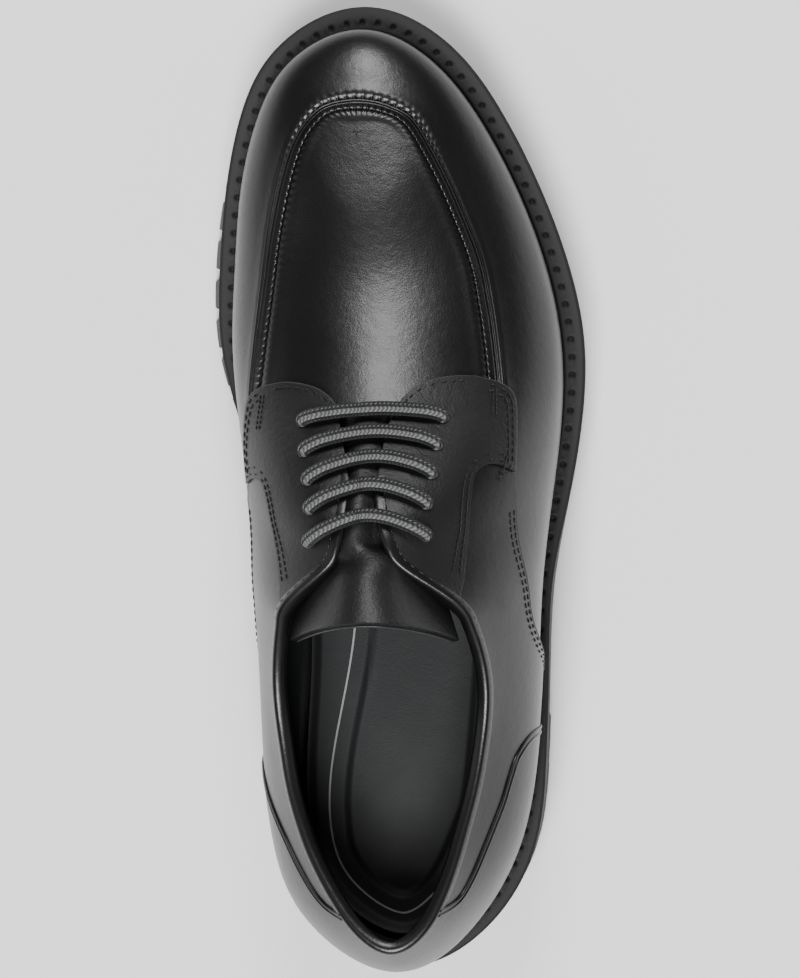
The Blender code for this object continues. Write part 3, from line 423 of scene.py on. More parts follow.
def thicken(obj, thickness, edge=0.0003):
    """Gives a panel its thickness inwards, and breaks its cut edges."""
    solid = obj.modifiers.new("thickness", "SOLIDIFY")
    solid.thickness = thickness
    solid.offset = -1
    skived = obj.modifiers.new("skived edge", "BEVEL")
    skived.width = edge
    skived.segments = 2
    skived.limit_method = "ANGLE"
    skived.angle_limit = math.radians(50)


def tube(path, radius, sides, uv_turn=1.0, uv_run=1.0):
    """Tube along a path: a ring square to the run at each point, with rounded ends. Each ring starts
    level, to the right of the run, and turns upwards. Gives the points, and a UV for each."""
    run = unit(np.gradient(path, axis=0))
    side = unit(np.cross(run, [0.0, 0.0, 1.0]))
    up = np.cross(side, run)
    lengths = running_length(path)
    ends = np.minimum(lengths, lengths[-1] - lengths) / radius
    scale = np.sqrt(np.clip(1 - (1 - np.clip(ends, 0, 1)) ** 2, 0.0004, 1))
    turn = np.linspace(0, 2 * math.pi, sides + 1)
    ring = np.cos(turn)[:, None] * side[:, None, :] + np.sin(turn)[:, None] * up[:, None, :]
    grid = path[:, None, :] + ring * (radius * scale)[:, None, None]
    around_it = turn[None, :] / (2 * math.pi) * uv_turn
    return grid, np.stack(np.broadcast_arrays(around_it, lengths[:, None] * uv_run), -1)


# Radius of a thread, the length of its stitches, and their pitch along a seam.
THREAD = 0.00022
STITCH_LENGTH, STITCH_STEP = 0.0019, 0.0026
THREAD_SINK = 0.35
CAPSULE_TURN = np.linspace(0, 2 * math.pi, 7)[:-1]
CAPSULE_RUN = np.array([-1.0, -0.8, -0.35, 0.35, 0.8, 1.0])
CAPSULE_WIDE = np.array([0.05, 0.7, 1.0, 1.0, 0.7, 0.05])


def stitch_row(name, centres, runs, normals, length, radius):
    """Threads as one mesh of capsules. Each lies along its run, as long as length, and is sunk into
    the leather by a share of its radius, as a pulled stitch is."""
    runs = unit(runs)
    sides = unit(np.cross(runs, normals))
    ups = np.cross(sides, runs)
    bow = (1 - CAPSULE_RUN**2) * radius * 0.6
    along_run = runs[:, None, None, :] * (CAPSULE_RUN * length / 2)[None, :, None, None]
    ring = np.cos(CAPSULE_TURN)[None, None, :, None] * sides[:, None, None, :]
    ring = ring + np.sin(CAPSULE_TURN)[None, None, :, None] * ups[:, None, None, :]
    lift = ups[:, None, None, :] * (bow + radius * (1 - 2 * THREAD_SINK))[None, :, None, None]
    wide = (CAPSULE_WIDE * radius)[None, :, None, None]
    points = centres[:, None, None, :] + along_run + lift + ring * wide
    count, rows, cols = points.shape[:3]
    one = grid_quads(rows, cols, wrap_cols=True)[:, ::-1]
    faces = (one[None] + (np.arange(count) * rows * cols)[:, None, None]).reshape(-1, 4)
    return mesh_object(name, points.reshape(-1, 3), faces)


def threads_on_wall(name, stations, levels, lift, pitch, length):
    """A row of stitches along a line drawn on the wall."""
    path = wall(stations, levels, lift)
    count = max(int(running_length(path)[-1] / pitch), 2)
    both = evenly(np.column_stack([path, stations, levels]), 2 * count + 1)
    run = np.gradient(both[:, :3], axis=0)
    middle = slice(1, None, 2)
    normals = wall_normal(both[:, 3], both[:, 4])
    return stitch_row(name, both[middle, :3], run[middle], normals[middle], length, THREAD)


PIECES = []


def dress(obj, material, slot, *nodes):
    """Gives material and body, hides the CAD nodes that the piece stands for, and keeps the piece. The slot
    is not used.
    """
    obj.data.materials.clear()
    obj.data.materials.append(material)
    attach(obj, "root")
    if nodes:
        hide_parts(*nodes)
    PIECES.append(obj)


# %% [markdown]
# ## Materials
# The shoe is black on black, so what tells its leathers apart is gloss and grain. Vamp and quarters
# are polished calf, aniline dyed and lightly waxed. The facings and tongue are a softer milled
# leather with less polish. Sole and welt are moulded rubber. Patterns are set from real sizes.


# %% Material helpers
def srgb(code):
    """Linear colour of an sRGB hex value."""
    parts = [int(code[i : i + 2], 16) / 255 for i in (1, 3, 5)]
    return (*[c / 12.92 if c <= 0.04045 else ((c + 0.055) / 1.055) ** 2.4 for c in parts], 1.0)


def add_node(tree, kind, settings=(), **inputs):
    """Adds a node with its settings. Each input is a value, or a socket to link from."""
    node = tree.nodes.new("ShaderNode" + kind)
    for key, value in dict(settings).items():
        setattr(node, key, value)
    for key, value in inputs.items():
        socket = node.inputs[int(key[1:]) if key[0] == "i" and key[1:].isdigit() else key.replace("_", " ")]
        if isinstance(value, bpy.types.NodeSocket):
            tree.links.new(value, socket)
        else:
            socket.default_value = value
    return node


def new_material(name, colour, roughness, ior=1.5):
    """A Principled material with constant values on its sockets, and its tree and shader."""
    material = bpy.data.materials.new(name)
    material.use_nodes = True
    tree = material.node_tree
    shader = tree.nodes["Principled BSDF"]
    shader.inputs["Base Color"].default_value = srgb(colour)
    shader.inputs["Roughness"].default_value = roughness
    shader.inputs["IOR"].default_value = ior
    return material, tree, shader


def ramp(tree, factor, stops):
    """Colour ramp from pairs of place and colour."""
    node = add_node(tree, "ValToRGB", Fac=factor)
    elements = node.color_ramp.elements
    for element, (place, colour) in zip(elements, stops):
        element.position, element.color = place, colour
    for place, colour in stops[2:]:
        elements.new(place).color = colour
    return node.outputs["Color"]


def noise(tree, where, size, detail=2.0, rough=0.5):
    """Noise whose blobs are about size metres across."""
    node = add_node(tree, "TexNoise", Vector=where, Scale=1 / size, Detail=detail, Roughness=rough)
    return node.outputs["Fac"]


def grain(tree, where, pore, crease, pore_depth, crease_depth):
    """Leather grain as a bump: fine pores from small cells, over shallow creases from noise."""
    cells = add_node(tree, "TexVoronoi", {"feature": "SMOOTH_F1"}, Vector=where, Scale=1 / pore)
    folds = noise(tree, where, crease, 5.0, 0.62)
    first = add_node(tree, "Bump", Strength=1.0, Distance=pore_depth, Height=cells.outputs["Distance"])
    return add_node(
        tree, "Bump", Strength=1.0, Distance=crease_depth, Height=folds, Normal=first.outputs["Normal"]
    ).outputs["Normal"]


def leather(name, colour, roughness, spread, pore, crease, pore_depth, crease_depth):
    """Dyed leather: grain bump, and a roughness that wanders with the finish."""
    material, tree, shader = new_material(name, colour, roughness)
    where = add_node(tree, "TexCoord").outputs["Object"]
    normal = grain(tree, where, pore, crease, pore_depth, crease_depth)
    tree.links.new(normal, shader.inputs["Normal"])
    wander = add_node(tree, "MapRange", Value=noise(tree, where, 0.012, 3.0))
    wander.inputs["To Min"].default_value = roughness - spread
    wander.inputs["To Max"].default_value = roughness + spread
    tree.links.new(wander.outputs["Result"], shader.inputs["Roughness"])
    return material


# %% Leathers
# Polished calf: pores 0.45 mm apart, barely open under the wax, so highlights are soft but clear.
polished_calf = leather("polished_calf", "#0a0a0b", 0.33, 0.03, 0.00045, 0.0035, 0.00002, 0.00010)
# Milled leather: tumbled, so its grain stands open and it shines less.
milled_leather = leather("milled_leather", "#0b0b0c", 0.46, 0.05, 0.00060, 0.0022, 0.00006, 0.00016)
# Lining and footbed: unpolished, with a fine flat grain.
lining_leather = leather("lining_leather", "#1b1e1e", 0.62, 0.04, 0.00050, 0.0040, 0.00004, 0.00008)
footbed_leather = leather("footbed_leather", "#0f1113", 0.66, 0.04, 0.00050, 0.0040, 0.00004, 0.00008)

# %% Rubber and thread
# Moulded rubber: matte, with the fine texture of a spark-eroded mould, about 0.6 mm across.
moulded_rubber, tree, shader = new_material("moulded_rubber", "#0c0c0d", 0.66)
where = add_node(tree, "TexCoord").outputs["Object"]
speckle = noise(tree, where, 0.0006, 4.0, 0.7)
texture = add_node(tree, "Bump", Strength=1.0, Distance=0.00012, Height=speckle)
tree.links.new(texture.outputs["Normal"], shader.inputs["Normal"])

# Waxed polyester thread is as black as the leather, and shows by its small highlights.
waxed_thread, _, _ = new_material("waxed_thread", "#0e0e0f", 0.45)
# The cut edge of the leather is painted, and is a little lighter than its face.
cut_edge, _, _ = new_material("painted_cut_edge", "#2b2d2e", 0.5)
# The stamped line on the footbed is a matt grey print.
grey_print, _, _ = new_material("grey_print", "#8f9191", 0.6)

# %% [markdown]
# Braided lace: a round cord of polyester yarns laid over each other in two directions. The UV map
# counts yarns, so each yarn is the same width on every bar. Most yarns are black. A zigzag band on the
# cord's upper side and a row of dots beside it are lighter. They are partly grey yarns and partly a
# painted highlight and painted glints, put at the same place round every bar. Each yarn is raised in
# the middle, where it passes over the others.

# %% Braid
YARNS_AROUND = 12
YARN_PITCH = 0.00125
# Places and half widths round the cord, as shares of a turn, of the band and of the dots. Both are
# partly grey yarns and partly painted highlight and glints.
GREY_BAND_AND_HIGHLIGHT_PLACE, GREY_BAND_AND_HIGHLIGHT_HALF = 0.275, 0.060
DOT_AND_GLINT_PLACE, DOT_AND_GLINT_HALF = 0.135, 0.022
DOT_LENGTH, DOT_STRENGTH = 0.2, 0.75
EDGE_SHADE = 1.6
YARN_RELIEF = 0.0005
lace_braid, tree, shader = new_material("lace_braid", "#151516", 0.62)
uv = add_node(tree, "UVMap", {"uv_map": "UVMap"}).outputs["UV"]
split = add_node(tree, "SeparateXYZ", Vector=uv)
turns, run = split.outputs["X"], split.outputs["Y"]


def math_node(operation, *values):
    """Result of a Math node on sockets or numbers."""
    inputs = {f"i{k}": value for k, value in enumerate(values)}
    return add_node(tree, "Math", {"operation": operation}, **inputs).outputs[0]


zigzag = math_node("PINGPONG", turns, 1.0)
slant = math_node("ADD", run, math_node("MULTIPLY", zigzag, 0.5))
across_yarn = math_node("ABSOLUTE", math_node("SUBTRACT", math_node("FRACT", slant), 0.5))
along_yarn = math_node("ABSOLUTE", math_node("SUBTRACT", math_node("FRACT", turns), 0.5))
crown = math_node("SUBTRACT", 1.0, math_node("MULTIPLY", math_node("ADD", across_yarn, along_yarn), 1.3))
band = math_node("FRACT", math_node("DIVIDE", turns, YARNS_AROUND))
# Same place round every bar: the band and dots are partly grey yarns, partly painted highlight and glints.
in_grey_band_and_highlight = math_node("COMPARE", band, GREY_BAND_AND_HIGHLIGHT_PLACE, GREY_BAND_AND_HIGHLIGHT_HALF)
in_dot_and_glint_row = math_node("COMPARE", band, DOT_AND_GLINT_PLACE, DOT_AND_GLINT_HALF)
dots = math_node("MULTIPLY", in_dot_and_glint_row, math_node("LESS_THAN", across_yarn, DOT_LENGTH))
shade = math_node("SUBTRACT", 1.0, math_node("MULTIPLY", across_yarn, EDGE_SHADE))
mix = math_node("MAXIMUM", math_node("MULTIPLY", in_grey_band_and_highlight, shade), math_node("MULTIPLY", dots, DOT_STRENGTH))
colour = ramp(tree, mix, [(0.0, srgb("#0c0c0d")), (1.0, srgb("#7c7e7e"))])
tree.links.new(colour, shader.inputs["Base Color"])
braid_bump = add_node(tree, "Bump", Strength=1.0, Distance=YARN_RELIEF, Height=crown)
tree.links.new(braid_bump.outputs["Normal"], shader.inputs["Normal"])
shader.inputs["Sheen Weight"].default_value = 0.05

# %% [markdown]
# ## Vamp and apron
# The apron is a plug of leather let into the vamp. Both edges are turned up and sewn together, which
# leaves a ridge with a row of stitch holes on either side and small puckers between them. The grid
# of each piece starts at that seam, so the ridge and the puckers can be shaped exactly along it.

# %% Seam path
APRON_PATH = (
    (0.535, 0.325), (0.580, 0.315), (0.627, 0.300), (0.665, 0.286), (0.700, 0.270),
    (0.745, 0.243), (0.787, 0.199), (0.830, 0.147), (0.872, 0.086), (0.898, 0.037),
    (0.911, -0.028), (0.917, -0.106), (0.914, -0.190), (0.903, -0.245), (0.876, -0.298),
    (0.835, -0.335), (0.777, -0.367), (0.716, -0.387), (0.660, -0.405), (0.618, -0.417),
    (0.575, -0.425), (0.530, -0.432),
)
SEAM_COLUMNS = 1001
STITCH_PITCH = 0.0024
PUCKERED_TOE = 0.030
# Height, distance from the seam, and half width of each part of its relief.
CROWN = (0.00125, 0.00045, 0.00055)
PULLED_IN = (-0.00050, 0.0018, 0.00065)
STITCH_HOLE = (-0.00026, 0.0018, 0.0004)
PUCKER = (-0.00008, 0.0027, 0.0011)
SHOULDER = (0.00022, 0.0042, 0.0014)
TURNED_EDGE = (0.00030, 0.0026, 0.0005)
seam_plan = evenly(curve_through(in_plan(APRON_PATH), 12), SEAM_COLUMNS)
seam_s, seam_l = find_on_wall(seam_plan)
seam_run = running_length(wall(seam_s, seam_l))
seam_shown = smooth_step(seam_plan[:, 1], along(0.585), along(0.605))
print("apron seam", round(1000 * seam_run[-1]), "mm,", int(seam_run[-1] / STITCH_PITCH), "stitches")


def swell(distance, height, place, half):
    """A bell curve of that height over a place beside the seam."""
    return height * np.exp(-(((distance - place) / half) ** 2))


def seam_relief(distance, run, shown, side):
    """Height beside the seam: a narrow crown at 0.5 mm from it, a pulled-in line of holes at 1.9 mm,
    puckers between the holes, and a soft shoulder beyond them. side is 1 outside, -1 on the apron.
    Round the toe both sides pucker; along the sides the vamp's edge stays nearly smooth."""
    middle = run.max() / 2
    toe = np.exp(-(((run - middle) / PUCKERED_TOE) ** 4)) if side > 0 else 1.0
    phase = np.cos(2 * math.pi * run / STITCH_PITCH)
    steady = swell(distance, *CROWN) + swell(distance, *PULLED_IN) + swell(distance, *SHOULDER)
    sewn = swell(distance, *STITCH_HOLE) * np.clip(phase, 0, 1) ** 2 + swell(distance, *PUCKER) * phase
    return shown * (steady + sewn * toe + swell(distance, *TURNED_EDGE) * (1 - toe))


# Distances of the first rows from the seam, in millimetres: close where the relief is.
NEAR_SEAM = (0, 0.2, 0.4, 0.6, 0.85, 1.1, 1.4, 1.7, 1.9, 2.1, 2.4, 2.8, 3.2, 3.7, 4.3, 5.0, 6.0)
NEAR_SEAM = np.array(NEAR_SEAM) / 1000

# %% Vamp wall
VAMP_ROWS = 44
UNDER_QUARTER_COLUMNS = 120
# Stations from the heel, and levels, of the vamp's hidden edge under the quarters.
HIDDEN_EDGE_S = (3.2, 5.6)
HIDDEN_EDGE_L = [0.60, 0.84, 0.86]
PAST_SEAM = 0.15
lead_s = np.linspace(HIDDEN_EDGE_S[0], seam_s[0], UNDER_QUARTER_COLUMNS)[:-1]
lead_at = [*HIDDEN_EDGE_S, seam_s[0] - PAST_SEAM, seam_s[0]]
lead_l = np.interp(lead_s, lead_at, [*HIDDEN_EDGE_L, seam_l[0]])
trail_s = np.linspace(seam_s[-1], STATIONS - HIDDEN_EDGE_S[0], UNDER_QUARTER_COLUMNS)[1:]
trail_at = [seam_s[-1], seam_s[-1] + PAST_SEAM, STATIONS - HIDDEN_EDGE_S[1], STATIONS - HIDDEN_EDGE_S[0]]
trail_l = np.interp(trail_s, trail_at, [seam_l[-1], *HIDDEN_EDGE_L[::-1]])
vamp_s = np.concatenate([lead_s, seam_s, trail_s])
vamp_top = np.concatenate([lead_l, seam_l, trail_l])
vamp_run = np.concatenate([0 * lead_s, seam_run, 0 * trail_s + seam_run[-1]])
vamp_shown = np.concatenate([0 * lead_s, seam_shown, 0 * trail_s])
LEVEL_STEP = 0.01
step_down = wall(vamp_s, vamp_top) - wall(vamp_s, vamp_top - LEVEL_STEP)
per_level = np.linalg.norm(step_down, axis=1) / LEVEL_STEP
LASTED_EDGE = 0.0015
vamp_bottom = level_at_height(vamp_s, seat_height(vamp_s) + LASTED_EDGE)
near = vamp_top[:, None] - NEAR_SEAM[None, :] / per_level[:, None]
far = near[:, -1:] + (vamp_bottom[:, None] - near[:, -1:]) * np.linspace(0, 1, VAMP_ROWS)[None, 1:]
levels = np.concatenate([near, far], 1)
distance = (vamp_top[:, None] - levels) * per_level[:, None]
relief = seam_relief(distance, vamp_run[:, None], vamp_shown[:, None], 1)
vamp_grid = wall(vamp_s[:, None], levels, relief)
vamp = surface("vamp", vamp_grid)
dress(vamp, polished_calf, "upper_leather", "upper")
print("vamp:", len(vamp.data.polygons), "faces")

# %% Apron plug
PLUG_ROWS = 40
MIDDLE_ROWS = 8
mirrored = seam_plan[::-1]
middle_y = (seam_plan[:, 1] + mirrored[:, 1]) / 2
middle_y = np.minimum(middle_y, top_y(np.array([HALF]))[0])
half_at = np.interp(middle_y, top_y(SEAT_STATIONS), SEAT_STATIONS)
middle = np.stack([top_centre(half_at), middle_y], -1)
reach = np.linalg.norm(middle - seam_plan, axis=1)
shares_in = NEAR_SEAM[None, :] / reach[:, None]
further = shares_in[:, -1:] + (1 - shares_in[:, -1:]) * np.linspace(0, 1, PLUG_ROWS)[None, 1:]
shares_in = np.concatenate([shares_in, further], 1)
plug_plan = seam_plan[:, None, :] + (middle - seam_plan)[:, None, :] * shares_in[..., None]
CHUNK = 4000
flat_plan = plug_plan.reshape(-1, 2)
found = [find_on_wall(flat_plan[i : i + CHUNK]) for i in range(0, len(flat_plan), CHUNK)]
plug_s = np.concatenate([f[0] for f in found]).reshape(plug_plan.shape[:2])
plug_l = np.concatenate([f[1] for f in found]).reshape(plug_plan.shape[:2])
first_half = np.arange(SEAM_COLUMNS) <= SEAM_COLUMNS // 2
plug_s[:, -1] = np.where(first_half, half_at, STATIONS - half_at)
plug_l[:, -1] = 1
for values in (plug_s, plug_l):
    blend = np.linspace(0, 1, MIDDLE_ROWS + 1)
    values[:, -MIDDLE_ROWS - 1 :] = values[:, [-MIDDLE_ROWS - 1]] * (1 - blend) + values[:, [-1]] * blend
plug_distance = shares_in * reach[:, None]
plug_relief = seam_relief(plug_distance, seam_run[:, None], seam_shown[:, None], -1)
plug_grid = wall(plug_s, plug_l, plug_relief)
apron = surface("apron_plug", plug_grid, flip=True)
merge_doubles(apron, 2e-5)
dress(apron, polished_calf, "upper_leather", "apron_seam")
print("apron:", len(apron.data.polygons), "faces")

# %% [markdown]
# ## Facings, quarters and counter
# These panels lie on the vamp and are stitched down along their edges. The facings carry the eyelets
# and are of the milled leather; the quarters close the sides; the counter wraps the heel. Each panel
# is a grid between its two cut edges, worked out in stations and levels so that it stays on the last.

# %% Panel edges
# Facings and eyestay seams are drawn in plan, as shares of the upper's length and of the ball's width.
# Quarter fronts and counter edges are drawn in side view, with heights as shares of the instep's rise.
FACING_FRONT = {
    "lateral": (
        (0.575, 0.008), (0.595, 0.036), (0.609, 0.075), (0.617, 0.120), (0.621, 0.180),
        (0.621, 0.240),
    ),
    "medial": (
        (0.575, -0.141), (0.593, -0.158), (0.605, -0.195), (0.611, -0.235), (0.615, -0.300),
        (0.612, -0.366),
    ),
}
FACING_SIDE = {
    "lateral": ((0.621, 0.240), (0.614, 0.310), (0.600, 0.348), (0.565, 0.354), (0.523, 0.351)),
    "medial": ((0.612, -0.366), (0.606, -0.402), (0.594, -0.422), (0.555, -0.428), (0.512, -0.416)),
}
EYESTAY_SEAM = {
    "lateral": (
        (0.523, 0.351), (0.530, 0.300), (0.526, 0.262), (0.512, 0.240), (0.460, 0.226),
        (0.410, 0.217),
    ),
    "medial": (
        (0.512, -0.416), (0.517, -0.390), (0.512, -0.360), (0.495, -0.340), (0.450, -0.313),
        (0.400, -0.290),
    ),
}
SLIT = {
    "lateral": ((0.575, 0.008), (0.557, -0.006), (0.530, -0.014)),
    "medial": ((0.575, -0.141), (0.557, -0.128), (0.530, -0.114)),
}
SEAM_MEETS_COLLAR = {"lateral": 5.2, "medial": STATIONS - 5.12}
QUARTER_FRONT_ALONG = (0.315, 0.325, 0.343, 0.368, 0.400, 0.445, 0.495)
QUARTER_FRONT = {
    "lateral": list(zip(QUARTER_FRONT_ALONG, (0.0, 0.2, 0.355, 0.47, 0.535, 0.6, 0.643))),
    "medial": list(zip(QUARTER_FRONT_ALONG, (0.0, 0.18, 0.31, 0.40, 0.455, 0.505, 0.535))),
}
COUNTER_EDGE = {
    "lateral": (
        (0.252, 0.000), (0.254, 0.200), (0.249, 0.384), (0.231, 0.478), (0.209, 0.511),
        (0.182, 0.534), (0.154, 0.567), (0.128, 0.598), (0.104, 0.625), (0.087, 0.655),
        (0.079, 0.710), (0.0757, 0.770),
    ),
    "medial": (
        (0.222, 0.000), (0.223, 0.200), (0.212, 0.320), (0.178, 0.451), (0.147, 0.551),
        (0.118, 0.612), (0.094, 0.652), (0.080, 0.690), (0.073, 0.740), (0.0715, 0.775),
    ),
}
SIDES = {"lateral": (0.0, HALF), "medial": (HALF, STATIONS)}
SIDE_SPAN = 6
FRONT_POINTS = (len(QUARTER_FRONT_ALONG) - 1) * SIDE_SPAN


def on_side(side, station):
    """The station as far from the heel on the given side."""
    return station if side == "lateral" else STATIONS - station


def in_side(shares):
    shares = np.asarray(shares, float)
    y = along(shares[:, 0])
    return np.stack([y, seat_at(y) + shares[:, 1] * INSTEP_RISE], 1)


def plan_line(shares, per_span=8):
    """Stations and levels of a line drawn in plan."""
    return np.stack(find_on_wall(curve_through(in_plan(shares), per_span)), -1)


def side_line(shares, side):
    """Stations and levels of a line drawn in side view."""
    first, last = SIDES[side]
    drawn = curve_through(in_side(shares), SIDE_SPAN)
    return np.stack(find_on_wall(drawn, (1, 2), first, last, -1.0), -1)


def share_lengths(line):
    """Lengths along a line on the wall, from 0 to 1."""
    lengths = running_length(wall(line[:, 0], line[:, 1]))
    return lengths / lengths[-1]


def walk(line, places):
    """Points of a line on the wall at shares of its length."""
    at = share_lengths(line)
    return np.stack([np.interp(places, at, line[:, k]) for k in range(2)], -1)


def inset_line(line, distance, toward):
    """The same line moved over the wall by a distance, towards a point given in stations and levels."""
    points = wall(line[:, 0], line[:, 1])
    ds = wall(line[:, 0] + LEVEL_STEP, line[:, 1]) - points
    beside = line[:, 1] - LEVEL_STEP * np.where(line[:, 1] > 0, 1, -1)
    dl = wall(line[:, 0], beside) - points
    scale_s = np.linalg.norm(ds, axis=1) / LEVEL_STEP
    scale_l = np.linalg.norm(dl, axis=1) / LEVEL_STEP
    run = np.gradient(line, axis=0) * np.stack([scale_s, scale_l], -1)
    run /= np.maximum(np.linalg.norm(run, axis=1, keepdims=True), 1e-9)
    square = np.stack([-run[:, 1], run[:, 0]], -1)
    aim = (np.asarray(toward) - line) * np.stack([scale_s, scale_l], -1)
    square *= np.sign((square * aim).sum(1, keepdims=True))
    moved = line + square * distance / np.stack([scale_s, scale_l], -1)
    return np.stack([moved[:, 0], np.minimum(moved[:, 1], 1)], -1)


# %% Facings
FACING_LIFT = 0.0021
PANEL_THICKNESS = 0.0011
SLIT_STATION = 7.1


def facing_grid(side, rows=104, cols=96):
    """A patch between four edges: front, slit and collar, outer side, and the eyestay seam. It runs
    straight from front to seam, plus what slit and side bend away from their chords, each fading
    across the patch."""
    end = SEAM_MEETS_COLLAR[side]
    collar_s = np.linspace(on_side(side, SLIT_STATION), end, 30)
    slit = np.vstack([plan_line(SLIT[side]), np.stack([collar_s, 1 + 0 * collar_s], -1)])
    outer = plan_line(FACING_SIDE[side])
    seam = np.vstack([plan_line(EYESTAY_SEAM[side]), slit[-1:]])[::-1]
    front = plan_line(FACING_FRONT[side])
    u, v = np.linspace(0, 1, cols)[None, :], np.linspace(0, 1, rows)[:, None]
    lines = {"front": front, "slit": slit, "side": outer, "seam": seam}
    low = walk(front, u[0])[None]
    high = walk(seam, u[0])[None]
    left, right = walk(slit, v[:, 0])[:, None], walk(outer, v[:, 0])[:, None]
    u, v = u[..., None], v[..., None]
    bend_left = left - (slit[0] * (1 - v) + slit[-1] * v)
    bend_right = right - (outer[0] * (1 - v) + outer[-1] * v)
    return low * (1 - v) + high * v + bend_left * (1 - u) ** 3 + bend_right * u**3, lines


facing_lines = {}
for side in SIDES:
    sl, facing_lines[side] = facing_grid(side)
    grid = wall(sl[..., 0], np.minimum(sl[..., 1], 1), FACING_LIFT)
    turn = np.cross(grid[1:, :-1] - grid[:-1, :-1], grid[:-1, 1:] - grid[:-1, :-1])[..., 2]
    folded = (turn * np.sign(np.median(turn)) < 0).mean()
    print(side, "facing, share of folded faces:", round(float(folded), 4))
    panel = surface(f"facing_{side}", grid, flip=side == "medial")
    thicken(panel, PANEL_THICKNESS)
    dress(panel, milled_leather, "facing_leather", f"facing_{side}")

# %% Cut edges
CUT_EDGE = 0.00032
BEAD_STEPS, BEAD_SIDES = 240, 8


def edge_bead(name, line, lift, radius, material):
    """A thin bead along an edge, at a height over the last."""
    places = walk(line, np.linspace(0, 1, 500))
    path = wall(places[:, 0], np.minimum(places[:, 1], 1), lift)
    grid, _ = tube(evenly(path, BEAD_STEPS), radius, BEAD_SIDES)
    bead = surface(name, grid, flip=True)
    dress(bead, material, "facing_leather" if material is cut_edge else "upper_leather")


for side in SIDES:
    lines = facing_lines[side]
    edge = np.vstack([lines["front"][:-1], lines["side"]])
    edge_bead(f"facing_edge_{side}", edge, FACING_LIFT - 0.0003, CUT_EDGE, cut_edge)

# %% Quarters and counter
QUARTER_LIFT = 0.0014
COUNTER_LIFT = 0.0017
LEVEL_TOP = 0.995
STATION_STEP, QUARTER_RISE = 0.012, 0.060
UNDERLAP = 0.0016
PANEL_ROWS, QUARTER_COLUMNS, COUNTER_COLUMNS = 80, 120, 160


def edge_by_share(line):
    """A seam as stations over w, the share of the way from the welt to the topline."""
    bottom = level_at_height(line[:, 0], seat_height(line[:, 0]) + LASTED_EDGE)
    w = (line[:, 1] - bottom) / (1 - bottom)
    order = np.argsort(w)
    return lambda at: np.interp(at, w[order], line[order, 0])


def even_rows(edge, rows):
    """Shares of the height at even steps of length along an edge, so that level parts get rows too."""
    w = np.linspace(0, LEVEL_TOP, 3000)
    run = np.hypot(np.diff(edge(w)) * STATION_STEP, np.diff(w) * QUARTER_RISE)
    run = np.concatenate([[0], np.cumsum(run)])
    return np.interp(np.linspace(0, run[-1], rows), run, w)


def panel_grid(back_edge, front_edge, rows, cols):
    """Levels straight across from one edge's station to the other's."""
    w = even_rows(front_edge, rows)[:, None]
    u = np.linspace(0, 1, cols)[None, :]
    stations = back_edge(w) * (1 - u) + front_edge(w) * u
    bottom = level_at_height(stations, seat_height(stations) + LASTED_EDGE)
    return stations, bottom + (1 - bottom) * w


counter_line, quarter_line = {}, {}
for side in SIDES:
    counter_line[side] = side_line(COUNTER_EDGE[side], side)
    front = side_line(QUARTER_FRONT[side], side)
    seam = np.vstack([plan_line(EYESTAY_SEAM[side]), [[SEAM_MEETS_COLLAR[side], 1.0]]])
    under_facing = inset_line(seam, UNDERLAP, [on_side(side, 8.0), 0.95])
    quarter_line[side] = np.vstack([front, seam[:3], under_facing[3:]])
    edges = edge_by_share(counter_line[side]), edge_by_share(quarter_line[side])
    stations, levels = panel_grid(*edges, PANEL_ROWS, QUARTER_COLUMNS)
    grid = wall(stations, levels, QUARTER_LIFT)
    panel = surface(f"quarter_{side}", grid, flip=side == "lateral")
    thicken(panel, PANEL_THICKNESS)
    dress(panel, polished_calf, "upper_leather", f"quarter_{side}")

medial_edge = edge_by_share(counter_line["medial"])
lateral_edge = edge_by_share(counter_line["lateral"])
edges = medial_edge, lambda w: lateral_edge(w) + STATIONS
stations, levels = panel_grid(*edges, PANEL_ROWS, COUNTER_COLUMNS)
counter = surface("counter", wall(stations, levels, COUNTER_LIFT), flip=True)
thicken(counter, PANEL_THICKNESS)
dress(counter, polished_calf, "upper_leather", "counter")
print("quarters and counter done")

# The quarter's front edge is cut and painted; the counter's is folded over, in two narrow ridges.
FOLD, FOLD_GAP = 0.00055, 0.0017
for side in SIDES:
    front = quarter_line[side][2 : FRONT_POINTS + 2]
    edge_bead(f"quarter_edge_{side}", front, QUARTER_LIFT - 0.0002, CUT_EDGE, cut_edge)
    for distance in (0.0, FOLD_GAP):
        ridge_line = inset_line(counter_line[side][3:], distance, [on_side(side, 0.0), 0.6])
        edge_bead(f"counter_fold_{side}", ridge_line, COUNTER_LIFT - 0.00015, FOLD, polished_calf)

# %% [markdown]
# ## Collar, lining and tongue
# The top edge of the quarters is folded over, and shows a thin roll with the lining's edge inside it.
# The tongue is a soft piece sewn in under the facings. It shows between them and ends in a raw edge
# with one row of stitches.

# %% Lining
lining_s = np.linspace(0, STATIONS, 261)[:-1]
LINING_TOP = 0.997
lining_bottom = level_at_height(lining_s, seat_height(lining_s) + 0.002)[:, None]
lining_l = lining_bottom + (LINING_TOP - lining_bottom) * np.linspace(0, 1, 60)[None, :]
lining_grid = wall(lining_s[:, None], lining_l, -UPPER_WALL)
lining = surface("lining", lining_grid, wrap_rows=True)
dress(lining, lining_leather, "upper_leather", "upper")

